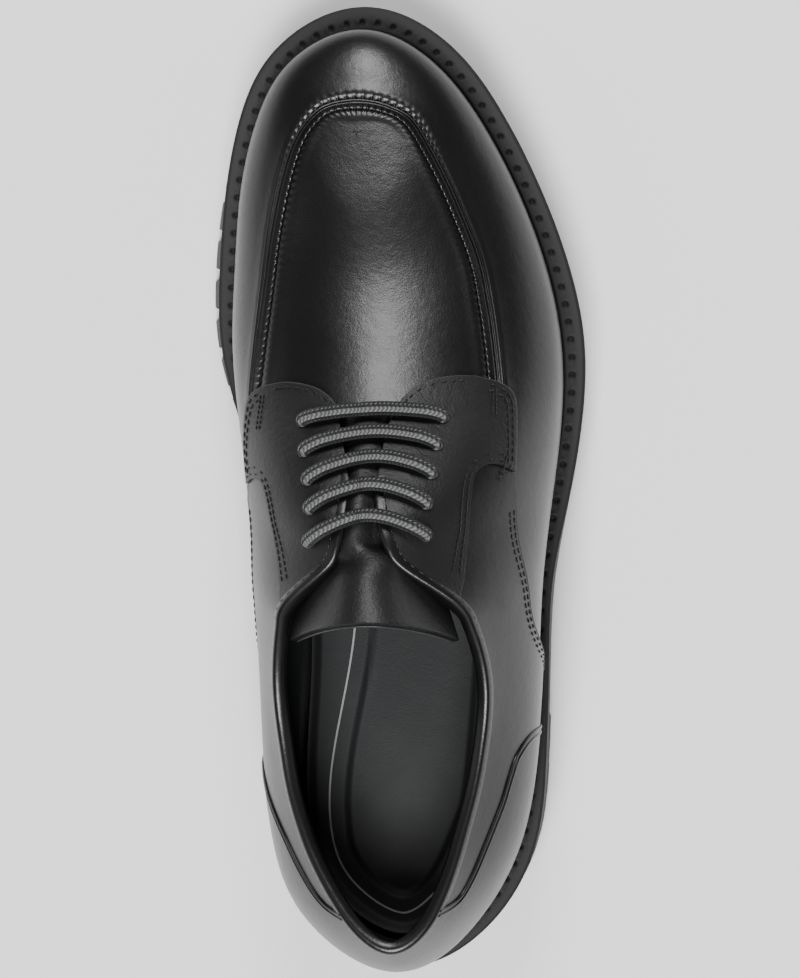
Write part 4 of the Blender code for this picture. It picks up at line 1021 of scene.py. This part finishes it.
# %% Collar roll
# Section of the roll in millimetres, out from the topline and up: from the outer side to the lining.
ROLL = (
    (1.55, -2.6), (1.75, -1.2), (1.75, 0.0), (1.45, 0.75), (0.8, 1.2),
    (0.0, 1.35), (-1.0, 1.25), (-2.0, 0.9), (-2.6, 0.2), (-2.75, -0.8),
    (-2.7, -2.2), (-2.45, -3.4),
)
OVER_FACING = (4.9, 5.3)
roll_profile = curve_through(np.array(ROLL) / 1000, 3)
roll_s = np.linspace(-SLIT_STATION, SLIT_STATION, 440)
roll_top = wall(roll_s, 1.0)
roll_out = wall_normal(roll_s, 1.0)
roll_up = unit(roll_top - wall(roll_s, 0.97))
over_facing = smooth_step(np.abs(roll_s), *OVER_FACING) * 0.0006
out, up = roll_profile[None, :, 0], roll_profile[None, :, 1]
out = out + over_facing[:, None] * (out > 0)
roll_grid = roll_top[:, None, :] + roll_out[:, None, :] * out[..., None]
roll_grid = roll_grid + roll_up[:, None, :] * up[..., None]
roll = surface("collar_roll", roll_grid)
dress(roll, polished_calf, "upper_leather")
print("collar", round(1000 * running_length(roll_top)[-1]), "mm round")

# %% Tongue
THROAT_END_SHARE = 0.447
END_CURVE = 0.0055
SLIT_BULGE_HALF, SLIT_BULGE = 0.0066, 0.0031
# Free end of the tongue: share of the length, centre, half width, rise in the middle and at the sides.
TONGUE_TOP = (
    (0.432, -0.048, 0.182, 1.010, 0.900),
    (0.412, -0.043, 0.196, 1.045, 0.890),
    (0.390, -0.036, 0.212, 1.080, 0.870),
    (0.368, -0.030, 0.226, 1.105, 0.855),
)
ACROSS = np.linspace(-1, 1, 9)
TONGUE_TIP, TONGUE_UNDER_HALF = 0.600, 0.175
TONGUE_CLEARANCE = 0.0015
# Middle of the slit between the facings, as shares of the length and of the ball's width.
SLIT_MIDDLE = np.array([(0.44, -0.053), (0.50, -0.063), (0.58, -0.066)])
TONGUE_THICKNESS = 0.0024
TONGUE_THREAD = 0.00026


def ceiling_over(x, y):
    """Height inside the upper over a row of points, rising away from its edge."""
    s, l = find_on_wall(np.stack([x, np.full_like(x, y)], -1))
    points, normals = last_wall(s, l), wall_normal(s, l)
    height = points[:, 2] - (UPPER_WALL + TONGUE_CLEARANCE) / np.maximum(normals[:, 2], 0.3)
    beyond = np.hypot(points[:, 0] - x, points[:, 1] - y)
    return height + np.maximum(beyond - TONGUE_CLEARANCE, 0) * 1.4


rows = []
for share in np.linspace(TONGUE_TIP, THROAT_END_SHARE, 7):
    y = along(share)
    half_station = np.interp(-y, -top_y(SEAT_STATIONS), SEAT_STATIONS)
    x = top_centre(half_station) + ACROSS * TONGUE_UNDER_HALF * BALL_WIDTH
    rows.append(np.stack([x, np.full_like(x, y), ceiling_over(x, y)], -1))
for share, centre, half, middle_rise, side_rise in TONGUE_TOP:
    y = along(share)
    x = (centre + ACROSS * half) * BALL_WIDTH
    rise = side_rise + (middle_rise - side_rise) * np.cos(ACROSS * math.pi / 2) ** 0.8
    z = np.minimum(seat_at(y) + rise * INSTEP_RISE, ceiling_over(x, y))
    rows.append(np.stack([x, np.full_like(x, y), z], -1))
rough_tongue = np.array(rows)


def refined(grid, factor):
    """A finer grid through the same points, by Catmull-Rom in both directions."""
    finer = np.stack([curve_through(grid[:, j], factor) for j in range(grid.shape[1])], 1)
    return np.stack([curve_through(finer[i], factor) for i in range(len(finer))], 0)


for _ in range(3):
    height = rough_tongue[..., 2]
    height[1:-1] = (height[:-2] + 2 * height[1:-1] + height[2:]) / 4
tongue_grid = refined(rough_tongue, 10) + CENTRING
slit_y, slit_x = along(SLIT_MIDDLE[:, 0]), SLIT_MIDDLE[:, 1] * BALL_WIDTH
slit_centre = np.interp(tongue_grid[..., 1] - CENTRING[1], slit_y, slit_x)
in_slit = np.exp(-(((tongue_grid[..., 0] - CENTRING[0] - slit_centre) / SLIT_BULGE_HALF) ** 4))
in_slit = in_slit * smooth_step(tongue_grid[..., 1], along(0.42), along(0.48))
in_slit = in_slit * (1 - smooth_step(tongue_grid[..., 1], along(0.572), along(0.590)))
tongue_grid[..., 2] += in_slit * SLIT_BULGE
# The end of the tongue is cut in a curve, further back at the sides than in the middle.
across_tongue = np.linspace(-1, 1, tongue_grid.shape[1])[None, :]
toward_end = smooth_step(np.linspace(0, 1, len(tongue_grid)), 0.6, 1.0)[:, None]
tongue_grid[..., 1] -= END_CURVE * across_tongue**2 * toward_end
# Soft folds where the laces draw it together.
fold_phase = tongue_grid[..., 0] / 0.0031 + 1.5 * np.sin(tongue_grid[..., 1] / 0.009)
drawn = smooth_step(tongue_grid[..., 1], along(0.40), along(0.47))
tongue_grid[..., 2] += 0.00035 * np.sin(fold_phase) * drawn
tongue = surface("tongue", tongue_grid, flip=True)
thicken(tongue, TONGUE_THICKNESS, 0.0005)
dress(tongue, milled_leather, "facing_leather", "tongue")
end_rows = tongue_grid[-10:, 5:-5]
end_path = evenly(end_rows[3], 2 * int(running_length(end_rows[3])[-1] / STITCH_STEP) + 1)
end_run = np.gradient(end_path, axis=0)
end_up = np.broadcast_to([0.0, 0.25, 0.97], end_path.shape)
middles = slice(1, None, 2)
ends = end_path[middles], end_run[middles], end_up[middles]
tongue_stitches = stitch_row("thread_tongue", *ends, STITCH_LENGTH, TONGUE_THREAD)
dress(tongue_stitches, waxed_thread, "facing_leather")
tip_path = evenly(tongue_grid[-1], 200) - [0, 0, CUT_EDGE]
tip_grid, _ = tube(tip_path, CUT_EDGE * 1.2, BEAD_SIDES)
dress(surface("tongue_edge", tip_grid, flip=True), cut_edge, "facing_leather")

# %% [markdown]
# ## Laces
# One braided lace makes five bars, bowed a little towards the toe. On the shoe each bar comes up
# through a punched hole in one facing and goes down through the hole opposite. Here no hole is cut,
# and each bar runs into the facings at those places. What runs below stays out of sight.

# %% Lace bars
LACE_DIAMETER = 0.0043
LACE_BOWS = (0.0022, 0.0040, 0.0048, 0.0050, 0.0050)
LACE_INSET = 0.0012
LACE_SIDES = 40
EYELETS = {
    "lateral": ((0.577, 0.160), (0.548, 0.148), (0.519, 0.136), (0.489, 0.124), (0.459, 0.120)),
    "medial": ((0.572, -0.252), (0.541, -0.240), (0.512, -0.223), (0.484, -0.210), (0.453, -0.206)),
}


def eyelet_places(side):
    s, l = find_on_wall(in_plan(EYELETS[side]))
    return wall(s, l), wall_normal(s, l)


def lace_path(bow, start, start_normal, end, end_normal):
    """Out of one hole, over both facings in a bow towards the toe, and down the other hole."""
    rest = FACING_LIFT + 0.0003 + LACE_DIAMETER / 2
    shares = np.linspace(0, 1, 11)[1:-1]
    side_step = unit(end - start) * LACE_INSET
    start, end = start + side_step, end - side_step
    plan = start[:2] + (end - start)[:2] * shares[:, None]
    plan[:, 1] += bow * np.sin(math.pi * shares)
    s, l = find_on_wall(plan - CENTRING[:2])
    normals = wall_normal(s, l)
    over = wall(s, l, rest)
    over[:, :2] = plan + normals[:, :2] * rest
    up = FACING_LIFT + LACE_DIAMETER / 4
    down = UPPER_WALL / 2
    first = [start - start_normal * down, start + start_normal * up]
    last = [end + end_normal * up, end - end_normal * down]
    return np.vstack([first, over, last])


lateral_holes, medial_holes = eyelet_places("lateral"), eyelet_places("medial")
for number, ends in enumerate(zip(LACE_BOWS, *lateral_holes, *medial_holes), 1):
    path = evenly(curve_through(lace_path(*ends), 16), 150)
    grid, uv_grid = tube(path, LACE_DIAMETER / 2, LACE_SIDES, YARNS_AROUND, 1 / YARN_PITCH)
    bar = surface(f"lace_{number}", grid, uv=uv_grid, flip=True)
    dress(bar, lace_braid, "lace_braid", f"lace_bar_{number}")
    print("lace bar", number, round(1000 * running_length(path)[-1]), "mm long")

# %% [markdown]
# ## Welt
# The welt is a strip between upper and sole with a row of big moulded stitches in its top. Its profile
# is carried round the shoe, and the stitch holes are pressed into the top by their distance along it.

# %% Welt
WELT_STITCH = 0.0059
WELT_BEVEL = 0.0011
# The welt is drawn in over the flared lugs, by this share of their flare.
WELT_DRAWN_IN = 0.42
# Rows across the welt's top, as shares of its width, and where among them the stitches lie.
WELT_SHARES = (0, 0.06, 0.12, 0.2, 0.28, 0.34, 0.40, 0.46, 0.52, 0.58, 0.64, 0.70, 0.76, 0.82, 0.90, 1.0)
WELT_STITCH_AT = 0.56


def rim(stations, reach):
    """Plan line beyond the widest line by the welt's own reach and a little more."""
    return widest(stations) + outward(stations) * (welt_reach(stations) + reach)[..., None]


def rim_at(stations, reach, height):
    """The same line at a height."""
    line = rim(stations, reach)
    line[:, 2] = height
    return line


def even_stations(first, last, count):
    """Stations at even distances along the welt's edge, and those distances."""
    fine = np.linspace(first, last, 4001)
    points = rim(fine, 0 * fine)[:, :2]
    lengths = running_length(points)
    at = np.linspace(0, lengths[-1], count)
    return np.interp(at, lengths, fine), at


welt_s, welt_run = even_stations(0, STATIONS, 1501)
welt_s, welt_total, welt_run = welt_s[:-1], welt_run[-1], welt_run[:-1]
welt_count = round(welt_total / WELT_STITCH)
phase = welt_run / welt_total * welt_count
seat = seat_height(welt_s)
top = seat + WELT_THICKNESS
inner = last_wall(welt_s, level_at_height(welt_s, top - 0.0004)) + outward(welt_s) * 0.0003
drawn_in = -WELT_DRAWN_IN * np.maximum(lug_flare(welt_s), 0)
outer = rim(welt_s, drawn_in)
width = np.linalg.norm((outer - inner)[:, :2], axis=1)
flat_width = np.maximum(width - WELT_BEVEL, 0.0004)
across = np.array(WELT_SHARES)[None, :] * flat_width[:, None]
face = inner[:, None, :] + outward(welt_s)[:, None, :] * across[..., None]
stitch_at = WELT_STITCH_AT * flat_width[:, None]
offset = (across - stitch_at) / 0.00075
step_run = (phase[:, None] - np.round(phase[:, None])) * WELT_STITCH / 0.00080
hole = np.exp(-((offset**2 + step_run**2) ** 1.5))
between = ((phase[:, None] + 0.28) % 1 - 0.5) * WELT_STITCH / 0.0009
thread = np.exp(-((offset * 1.2) ** 2 + between**2))
room = smooth_step(flat_width, 0.0018, 0.0034)[:, None]
gutter = np.exp(-((across / 0.0012) ** 2)) * 0.0022
groove = np.exp(-((offset / 1.8) ** 2)) * 0.00035
face[..., 2] = top[:, None] - room * (hole * 0.0013 - thread * 0.00045 + groove) - gutter
welt_edge = ((-0.0009, top), (-0.0001, top - 0.0006), (0, top - 0.0008), (0, seat + 0.0007), (-0.0006, seat))
edge_rows = [rim_at(welt_s, drawn_in + reach, height) for reach, height in welt_edge]
under = inner.copy()
under[:, 2] = seat
welt_grid = np.concatenate([face, np.stack(edge_rows, 1), under[:, None]], 1) + CENTRING
welt = surface("welt_strip", welt_grid, wrap_rows=True, wrap_cols=True, flip=True)
dress(welt, moulded_rubber, "sole_rubber", "welt")
print("welt stitches:", welt_count)

# %% [markdown]
# ## Sole and heel
# The outsole is one moulding: a plain step under the welt, side lugs round the forepart, and a tread
# of rim lugs, a channel and cross bars. The side and the underside are one grid from the welt's edge
# to the middle line, with each groove a smooth box pressed into it. The heel is a second block.

# %% Outsole
SOLE_SIDE_STEP = 0.0014
SOLE_SIDE_GROOVE = 0.0016
LUG_PITCH = 0.0130
LUG_GAP = 0.0036
LUG_NOTCH = 0.0018
TREAD_DEPTH = 0.0045
TREAD_RIM = 0.0150
HEEL_LENGTH = 0.0760
HEEL_HEIGHT = 0.0220
HEEL_SHARE = HEEL_LENGTH / UPPER_LENGTH
FOREPART_BARS = (0.58, 0.63, 0.68, 0.73, 0.78, 0.83, 0.88)
FOREPART_FROM = 0.565
HEEL_BARS = (0.07, 0.13, 0.19)
LUG_FIRST, LUG_LAST = 7, 19
LUG_EDGE = 0.0005


def sole_bottom(y):
    """Underside height: the heel's top, a smooth arch, the flat forepart, and the toe spring as a power."""
    share = y / UPPER_LENGTH + 0.5
    back = np.clip((0.560 - share) / (0.560 - HEEL_SHARE), 0, 1)
    front = np.clip((share - 0.780) / (1.03 - 0.780), 0, 1.2)
    return HEEL_HEIGHT * (back * back * (3 - 2 * back)) + TOE_SPRING * front**1.7


def box_gap(offset, wide):
    """1 inside a groove and 0 outside, over a wall 0.5 mm wide."""
    return 1 - smooth_step(np.abs(offset), wide / 2 - 0.00025, wide / 2 + 0.00025)


def gap_mask(run, first, last):
    """Grooves between rim lugs, centred on whole pitches from the first to the last."""
    count = round((last - first) / LUG_PITCH)
    pitch = (last - first) / count
    offset = run - first
    nearest = np.clip(np.round(offset / pitch), 0, count) * pitch
    return box_gap(offset - nearest, LUG_GAP) * ((offset > -LUG_GAP) & (offset < last - first + LUG_GAP))


def middle_line(stations, low, high):
    """Points of the middle line of the sole, matched for both sides."""
    x = (wide_x(stations) + wide_x(STATIONS - stations)) / 2
    y = np.clip(wide_y(stations), along(low), along(high))
    half = np.interp(y, SEAT_Y, SEAT_STATIONS)
    x = np.where(wide_y(stations) == y, x, (wide_x(half) + wide_x(STATIONS - half)) / 2)
    return np.stack([x, y], -1)


def rows_inward(edge, middle, distances, most, steps):
    """Plan points at distances in from an edge towards a middle line, but never past that share of
    the way, and then on to the line in even steps."""
    way = middle - edge
    length = np.linalg.norm(way, axis=1)
    rows = [edge + way * np.minimum(distance / length, most)[:, None] for distance in distances]
    rows += [rows[-1] + (middle - rows[-1]) * t for t in np.linspace(0, 1, steps)[1:]]
    return np.stack(rows, 1)


def with_heights(plan, heights):
    return np.concatenate([plan, heights[..., None]], -1)


def cross_bars(plan, shares):
    """Grooves straight across the tread, at shares of the length."""
    return sum(box_gap(plan[..., 1] - along(share), LUG_GAP) for share in shares)


sole_s, sole_run = even_stations(0, STATIONS, 1401)
fine_s, fine_run = even_stations(0, STATIONS, 4001)
lug_start, lug_end = np.interp([LUG_FIRST, LUG_LAST], fine_s, fine_run)
sole_s, sole_run = sole_s[:-1], sole_run[:-1]
gaps = gap_mask(sole_run, lug_start, lug_end)
flare = lug_flare(sole_s)
seat = seat_height(sole_s)
bottom = sole_bottom(rim(sole_s, 0 * sole_s)[:, 1])
step = SOLE_SIDE_STEP
notch = gaps * LUG_NOTCH
side_rows = [
    (0 * seat - step - SOLE_SIDE_GROOVE, seat),
    (0 * seat - step - SOLE_SIDE_GROOVE, seat - 1.6 * step),
    (0 * seat - step * 0.9, seat - 2.1 * step),
    (0 * seat - step * 0.45 - notch, seat - 2.4 * step),
    (0 * seat - step * 0.40 - notch, seat - 3.0 * step),
]
start_z = seat - 3.0 * step
edge_z = bottom + TREAD_DEPTH * gaps
for share in (0.25, 0.5, 0.75, 0.93):
    reach_row = -step * 0.40 * (1 - share) + flare * share - notch
    side_rows.append((reach_row, start_z + (edge_z + 0.0006 - start_z) * share))
side_rows.append((flare - notch - 0.0002, edge_z + 0.00025))
side_rows.append((flare - notch - 0.0007, edge_z))
rings = []
drawn_in = -WELT_DRAWN_IN * np.maximum(flare, 0)
for reach_row, height in side_rows:
    up_side = np.clip((height - bottom) / (seat - bottom), 0, 1)
    rings.append(rim_at(sole_s, reach_row + drawn_in * up_side, height))
inward = np.concatenate([np.linspace(0.0012, 0.0225, 22), [0.0235, 0.026, 0.029]])
flat = rows_inward(rings[-1][:, :2], middle_line(sole_s, 0.14, 0.86), inward, 0.98, 12)
inset = np.linalg.norm(flat - rim(sole_s, 0 * sole_s)[:, None, :2], axis=-1)
rim_groove = gaps[:, None] * (1 - smooth_step(inset, TREAD_RIM - 0.0003, TREAD_RIM + 0.0003))
after_first = smooth_step(sole_run, lug_start - LUG_EDGE, lug_start + LUG_EDGE)
before_last = 1 - smooth_step(sole_run, lug_end - LUG_EDGE, lug_end + LUG_EDGE)
channel = box_gap(inset - TREAD_RIM - LUG_GAP / 2, LUG_GAP) * (after_first * before_last)[:, None]
bars = cross_bars(flat, FOREPART_BARS) * smooth_step(inset, TREAD_RIM + 0.0010, TREAD_RIM + 0.0016)
bars = bars * (flat[..., 1] > along(FOREPART_FROM))
cut = np.clip(rim_groove + channel + bars, 0, 1)
flat_z = sole_bottom(flat[..., 1]) + TREAD_DEPTH * cut
sole_grid = np.concatenate([np.stack(rings, 1), with_heights(flat, flat_z)], 1) + CENTRING
outsole = surface("outsole_moulding", sole_grid, wrap_rows=True, flip=True)
dress(outsole, moulded_rubber, "sole_rubber", "outsole")
print("outsole:", len(outsole.data.polygons), "faces")

# %% Heel block
HEEL_LUG_SHARE = 0.55
breast = float(np.interp(along(HEEL_SHARE), SEAT_Y, SEAT_STATIONS))
heel_s, heel_run = even_stations(-breast, breast, 520)
heel_gaps = gap_mask(heel_run, heel_run[0], heel_run[-1])
heel_gaps = heel_gaps * (heel_run > LUG_GAP) * (heel_run < heel_run[-1] - LUG_GAP)
heel_notch = heel_gaps * LUG_NOTCH
lug_top = HEEL_HEIGHT * HEEL_LUG_SHARE
breast_count = 90
heel_rows = []
for reach_row, height in (
    (0 * heel_s - 0.0005, HEEL_HEIGHT + 0 * heel_s),
    (0 * heel_s, HEEL_HEIGHT - 0.0006 + 0 * heel_s),
    (0 * heel_s, lug_top + LUG_NOTCH + 0 * heel_s),
    (-heel_notch, lug_top + 0 * heel_s),
    (-heel_notch - 0.0005, lug_top * 0.6 + heel_gaps * 0.001),
    (-heel_notch - 0.0008, 0.0006 + TREAD_DEPTH * heel_gaps),
    (-heel_notch - 0.0014, 0.0 + TREAD_DEPTH * heel_gaps),
):
    ring = rim_at(heel_s, reach_row, height)
    t = np.linspace(0, 1, breast_count + 2)[1:-1, None]
    front_face = ring[-1] * (1 - t) + ring[0] * t
    heel_rows.append(np.vstack([ring, front_face]))
corner = heel_rows[-1]
heel_y = np.clip(corner[:, 1], along(0.08), along(0.20))
heel_mid = np.stack([np.full(len(corner), corner[:, 0].mean()), heel_y], -1)
inward = np.concatenate([np.linspace(0.001, 0.016, 16), [0.018]])
flat = rows_inward(corner[:, :2], heel_mid, inward, 0.97, 12)
off_breast = np.concatenate([np.ones(len(heel_s)), np.zeros(breast_count)])[:, None]
all_gaps = np.concatenate([heel_gaps, np.zeros(breast_count)])
inset = np.linalg.norm(flat - corner[:, None, :2], axis=-1)
grooves = all_gaps[:, None] * (1 - smooth_step(inset, TREAD_RIM - 0.0018, TREAD_RIM - 0.0012))
bars = cross_bars(flat, HEEL_BARS) * smooth_step(inset, TREAD_RIM - 0.0005, TREAD_RIM + 0.0001)
bars = bars * off_breast
flat_z = TREAD_DEPTH * np.clip(grooves + bars, 0, 1)
heel_grid = np.concatenate([np.stack(heel_rows, 1), with_heights(flat, flat_z)], 1) + CENTRING
heel = surface("heel_block", heel_grid, wrap_rows=True, flip=True)
dress(heel, moulded_rubber, "sole_rubber", "heel")

# %% [markdown]
# ## Footbed
# The footbed is a moulded sheet of lining leather on the insole. Its rim is flat, the heel cup sinks
# 1.6 mm inside it, and a matt grey line is printed on the rim.

# %% Footbed
FOOTBED_TOP = 0.0040
ARCH_IN = 0.0095
CUP_DEPTH, CURL = 0.0016, 0.0022
BED_INSET = UPPER_WALL + 0.0006
bed_s = np.linspace(0, STATIONS, 417)[:-1]
bed_edge = feather(bed_s) - outward(bed_s) * BED_INSET
inward = np.concatenate([np.linspace(0, 0.018, 37), [0.020]])
plan = rows_inward(bed_edge[:, :2], middle_line(bed_s, 0.16, 0.86), inward, 0.96, 9)
bed_inset = np.linalg.norm(plan - bed_edge[:, None, :2], axis=-1)
heelward = 1 - smooth_step(plan[..., 1], along(0.42), along(0.55))
arch_side = smooth_step(bed_s, 15.5, 18.0)[:, None] * np.ones_like(bed_inset)
arch_in = ARCH_IN * arch_side * smooth_step(plan[..., 1], along(0.12), along(0.46))
cup = smooth_step(bed_inset - arch_in, 0.0105, 0.0135) * CUP_DEPTH * heelward
curl = CURL * (1 - smooth_step(bed_inset, 0.0, 0.0035))
bed_z = seat_at(plan[..., 1]) + FOOTBED_TOP - cup + curl
bed_grid = with_heights(plan, bed_z) + CENTRING
footbed = surface("footbed", bed_grid, wrap_rows=True, flip=True)
dress(footbed, footbed_leather, "footbed_leather", "insole")

line_s = np.linspace(-5.4, 5.4, 400)
line_edge = feather(line_s) - outward(line_s) * BED_INSET
line_rows = []
for inset_at in (0.0060, 0.0066):
    on_arch = (line_s < 0) * ARCH_IN * smooth_step(line_edge[:, 1], along(0.12), along(0.46))
    row = line_edge - outward(line_s) * (inset_at + on_arch)[:, None]
    row[:, 2] = seat_at(row[:, 1]) + FOOTBED_TOP + 0.0001
    line_rows.append(row)
printed = surface("footbed_line", np.stack(line_rows, 1) + CENTRING, flip=True)
dress(printed, grey_print, "footbed_leather")
print("footbed done")

# %% [markdown]
# ## Stitches
# Thread shows along every panel edge, about 3 stitches to a centimetre on the facings and quarters.

# %% Thread rows
rows_of_thread = []
TACK_STEP, TACK_LENGTH = 0.0015, 0.0013
COLLAR_LEVEL = 0.965


def sew(name, line, lift, pitch=STITCH_STEP, length=STITCH_LENGTH):
    places = walk(line, np.linspace(0, 1, 400))
    return threads_on_wall(name, places[:, 0], places[:, 1], lift, pitch, length)


for side in SIDES:
    lines = facing_lines[side]
    inside, behind = [on_side(side, 7.2), 0.75], [on_side(side, 2.5), 0.4]
    to_heel = [on_side(side, 0.0), 0.5]
    quarter_rows = (0.0012, 0.0032) if side == "lateral" else (0.0012,)
    for name, line, distances, toward, lift in (
        ("front", lines["front"][1:-3], (0.0016,), inside, FACING_LIFT),
        ("side", lines["side"][4:-2], (0.0014, 0.0034), inside, FACING_LIFT),
        ("eyestay", lines["seam"][2:-1], (0.0014, 0.0034), inside, FACING_LIFT),
        ("quarter", quarter_line[side][2:FRONT_POINTS], quarter_rows, behind, QUARTER_LIFT),
        ("counter", counter_line[side][4:-2], (0.0016,), to_heel, COUNTER_LIFT),
    ):
        for distance in distances:
            moved = inset_line(line, distance, toward)
            rows_of_thread.append(sew(f"thread_{side}_{name}", moved, lift))
TACKS = {"lateral": ((0.609, 0.292), (0.580, 0.294)), "medial": ((0.603, -0.372), (0.566, -0.378))}
for side, ends in TACKS.items():
    for shift in (-0.005, 0.005):
        line = plan_line([(share, across + shift) for share, across in ends], 12)
        rows_of_thread.append(sew(f"tack_{side}", line, FACING_LIFT, TACK_STEP, TACK_LENGTH))
collar_s = np.linspace(-6.9, 6.9, 500)
collar_lift = QUARTER_LIFT + smooth_step(np.abs(collar_s), *OVER_FACING) * 0.0007
collar_path = wall(collar_s, COLLAR_LEVEL, collar_lift)
count = int(running_length(collar_path)[-1] / STITCH_STEP)
even = evenly(np.column_stack([collar_path, collar_s]), 2 * count + 1)
run = np.gradient(even[:, :3], axis=0)
normal = wall_normal(even[:, 3], COLLAR_LEVEL)
ends = even[middles, :3], run[middles], normal[middles]
rows_of_thread.append(stitch_row("thread_collar", *ends, STITCH_LENGTH, THREAD))
for threads in rows_of_thread:
    dress(threads, waxed_thread, "upper_leather")
print("rows of thread:", len(rows_of_thread))

# %% [markdown]
# ## Studio
# A pale sweep of floor and large soft lights. The toe light makes the broad highlight down the vamp.

# %% Floor and lights
floor_grid = np.stack(np.meshgrid([-3.0, 3.0], [-3.0, 3.0], [0.0], indexing="ij"), -1)[:, :, 0, :]
floor = surface("floor", floor_grid)
floor_paint, _, _ = new_material("floor_paint", "#fbfbfb", 0.6)
floor.data.materials.append(floor_paint)


SHOE_MIDDLE = (0, 0, 0.04)
# Name, place, size and power of each soft box.
LIGHTS = (
    ("toe_box", (0.05, 1.05, 1.0), (0.42, 0.42), 12),
    ("medial_box", (-2.2, 0.2, 1.0), (1.2, 2.2), 6),
    ("lateral_box", (2.2, 0.2, 1.0), (1.2, 2.2), 3),
    ("heel_box", (0.1, -2.2, 1.2), (2.2, 1.0), 5),
    ("overhead_box", (0.0, -0.9, 2.2), (0.9, 0.9), 78),
)


def soft_light(name, place, size, power):
    """Soft box of that size, aimed at the shoe."""
    data = bpy.data.lights.new(name, "AREA")
    data.shape = "RECTANGLE"
    data.size, data.size_y = size
    data.energy = power
    light = bpy.data.objects.new(name, data)
    bpy.context.scene.collection.objects.link(light)
    light.location = place
    direction = np.array(SHOE_MIDDLE) - np.array(place)
    turn = math.atan2(direction[0], -direction[1])
    tilt = math.atan2(math.hypot(direction[0], direction[1]), -direction[2])
    light.rotation_euler = (tilt, 0, turn + math.pi)


world = bpy.data.worlds.new("studio")
world.use_nodes = True
background = world.node_tree.nodes["Background"]
background.inputs["Color"].default_value = srgb("#ffffff")
background.inputs["Strength"].default_value = 0.10
bpy.context.scene.world = world
for light in LIGHTS:
    soft_light(*light)

# %% Count of pieces
print("pieces:", len(PIECES))
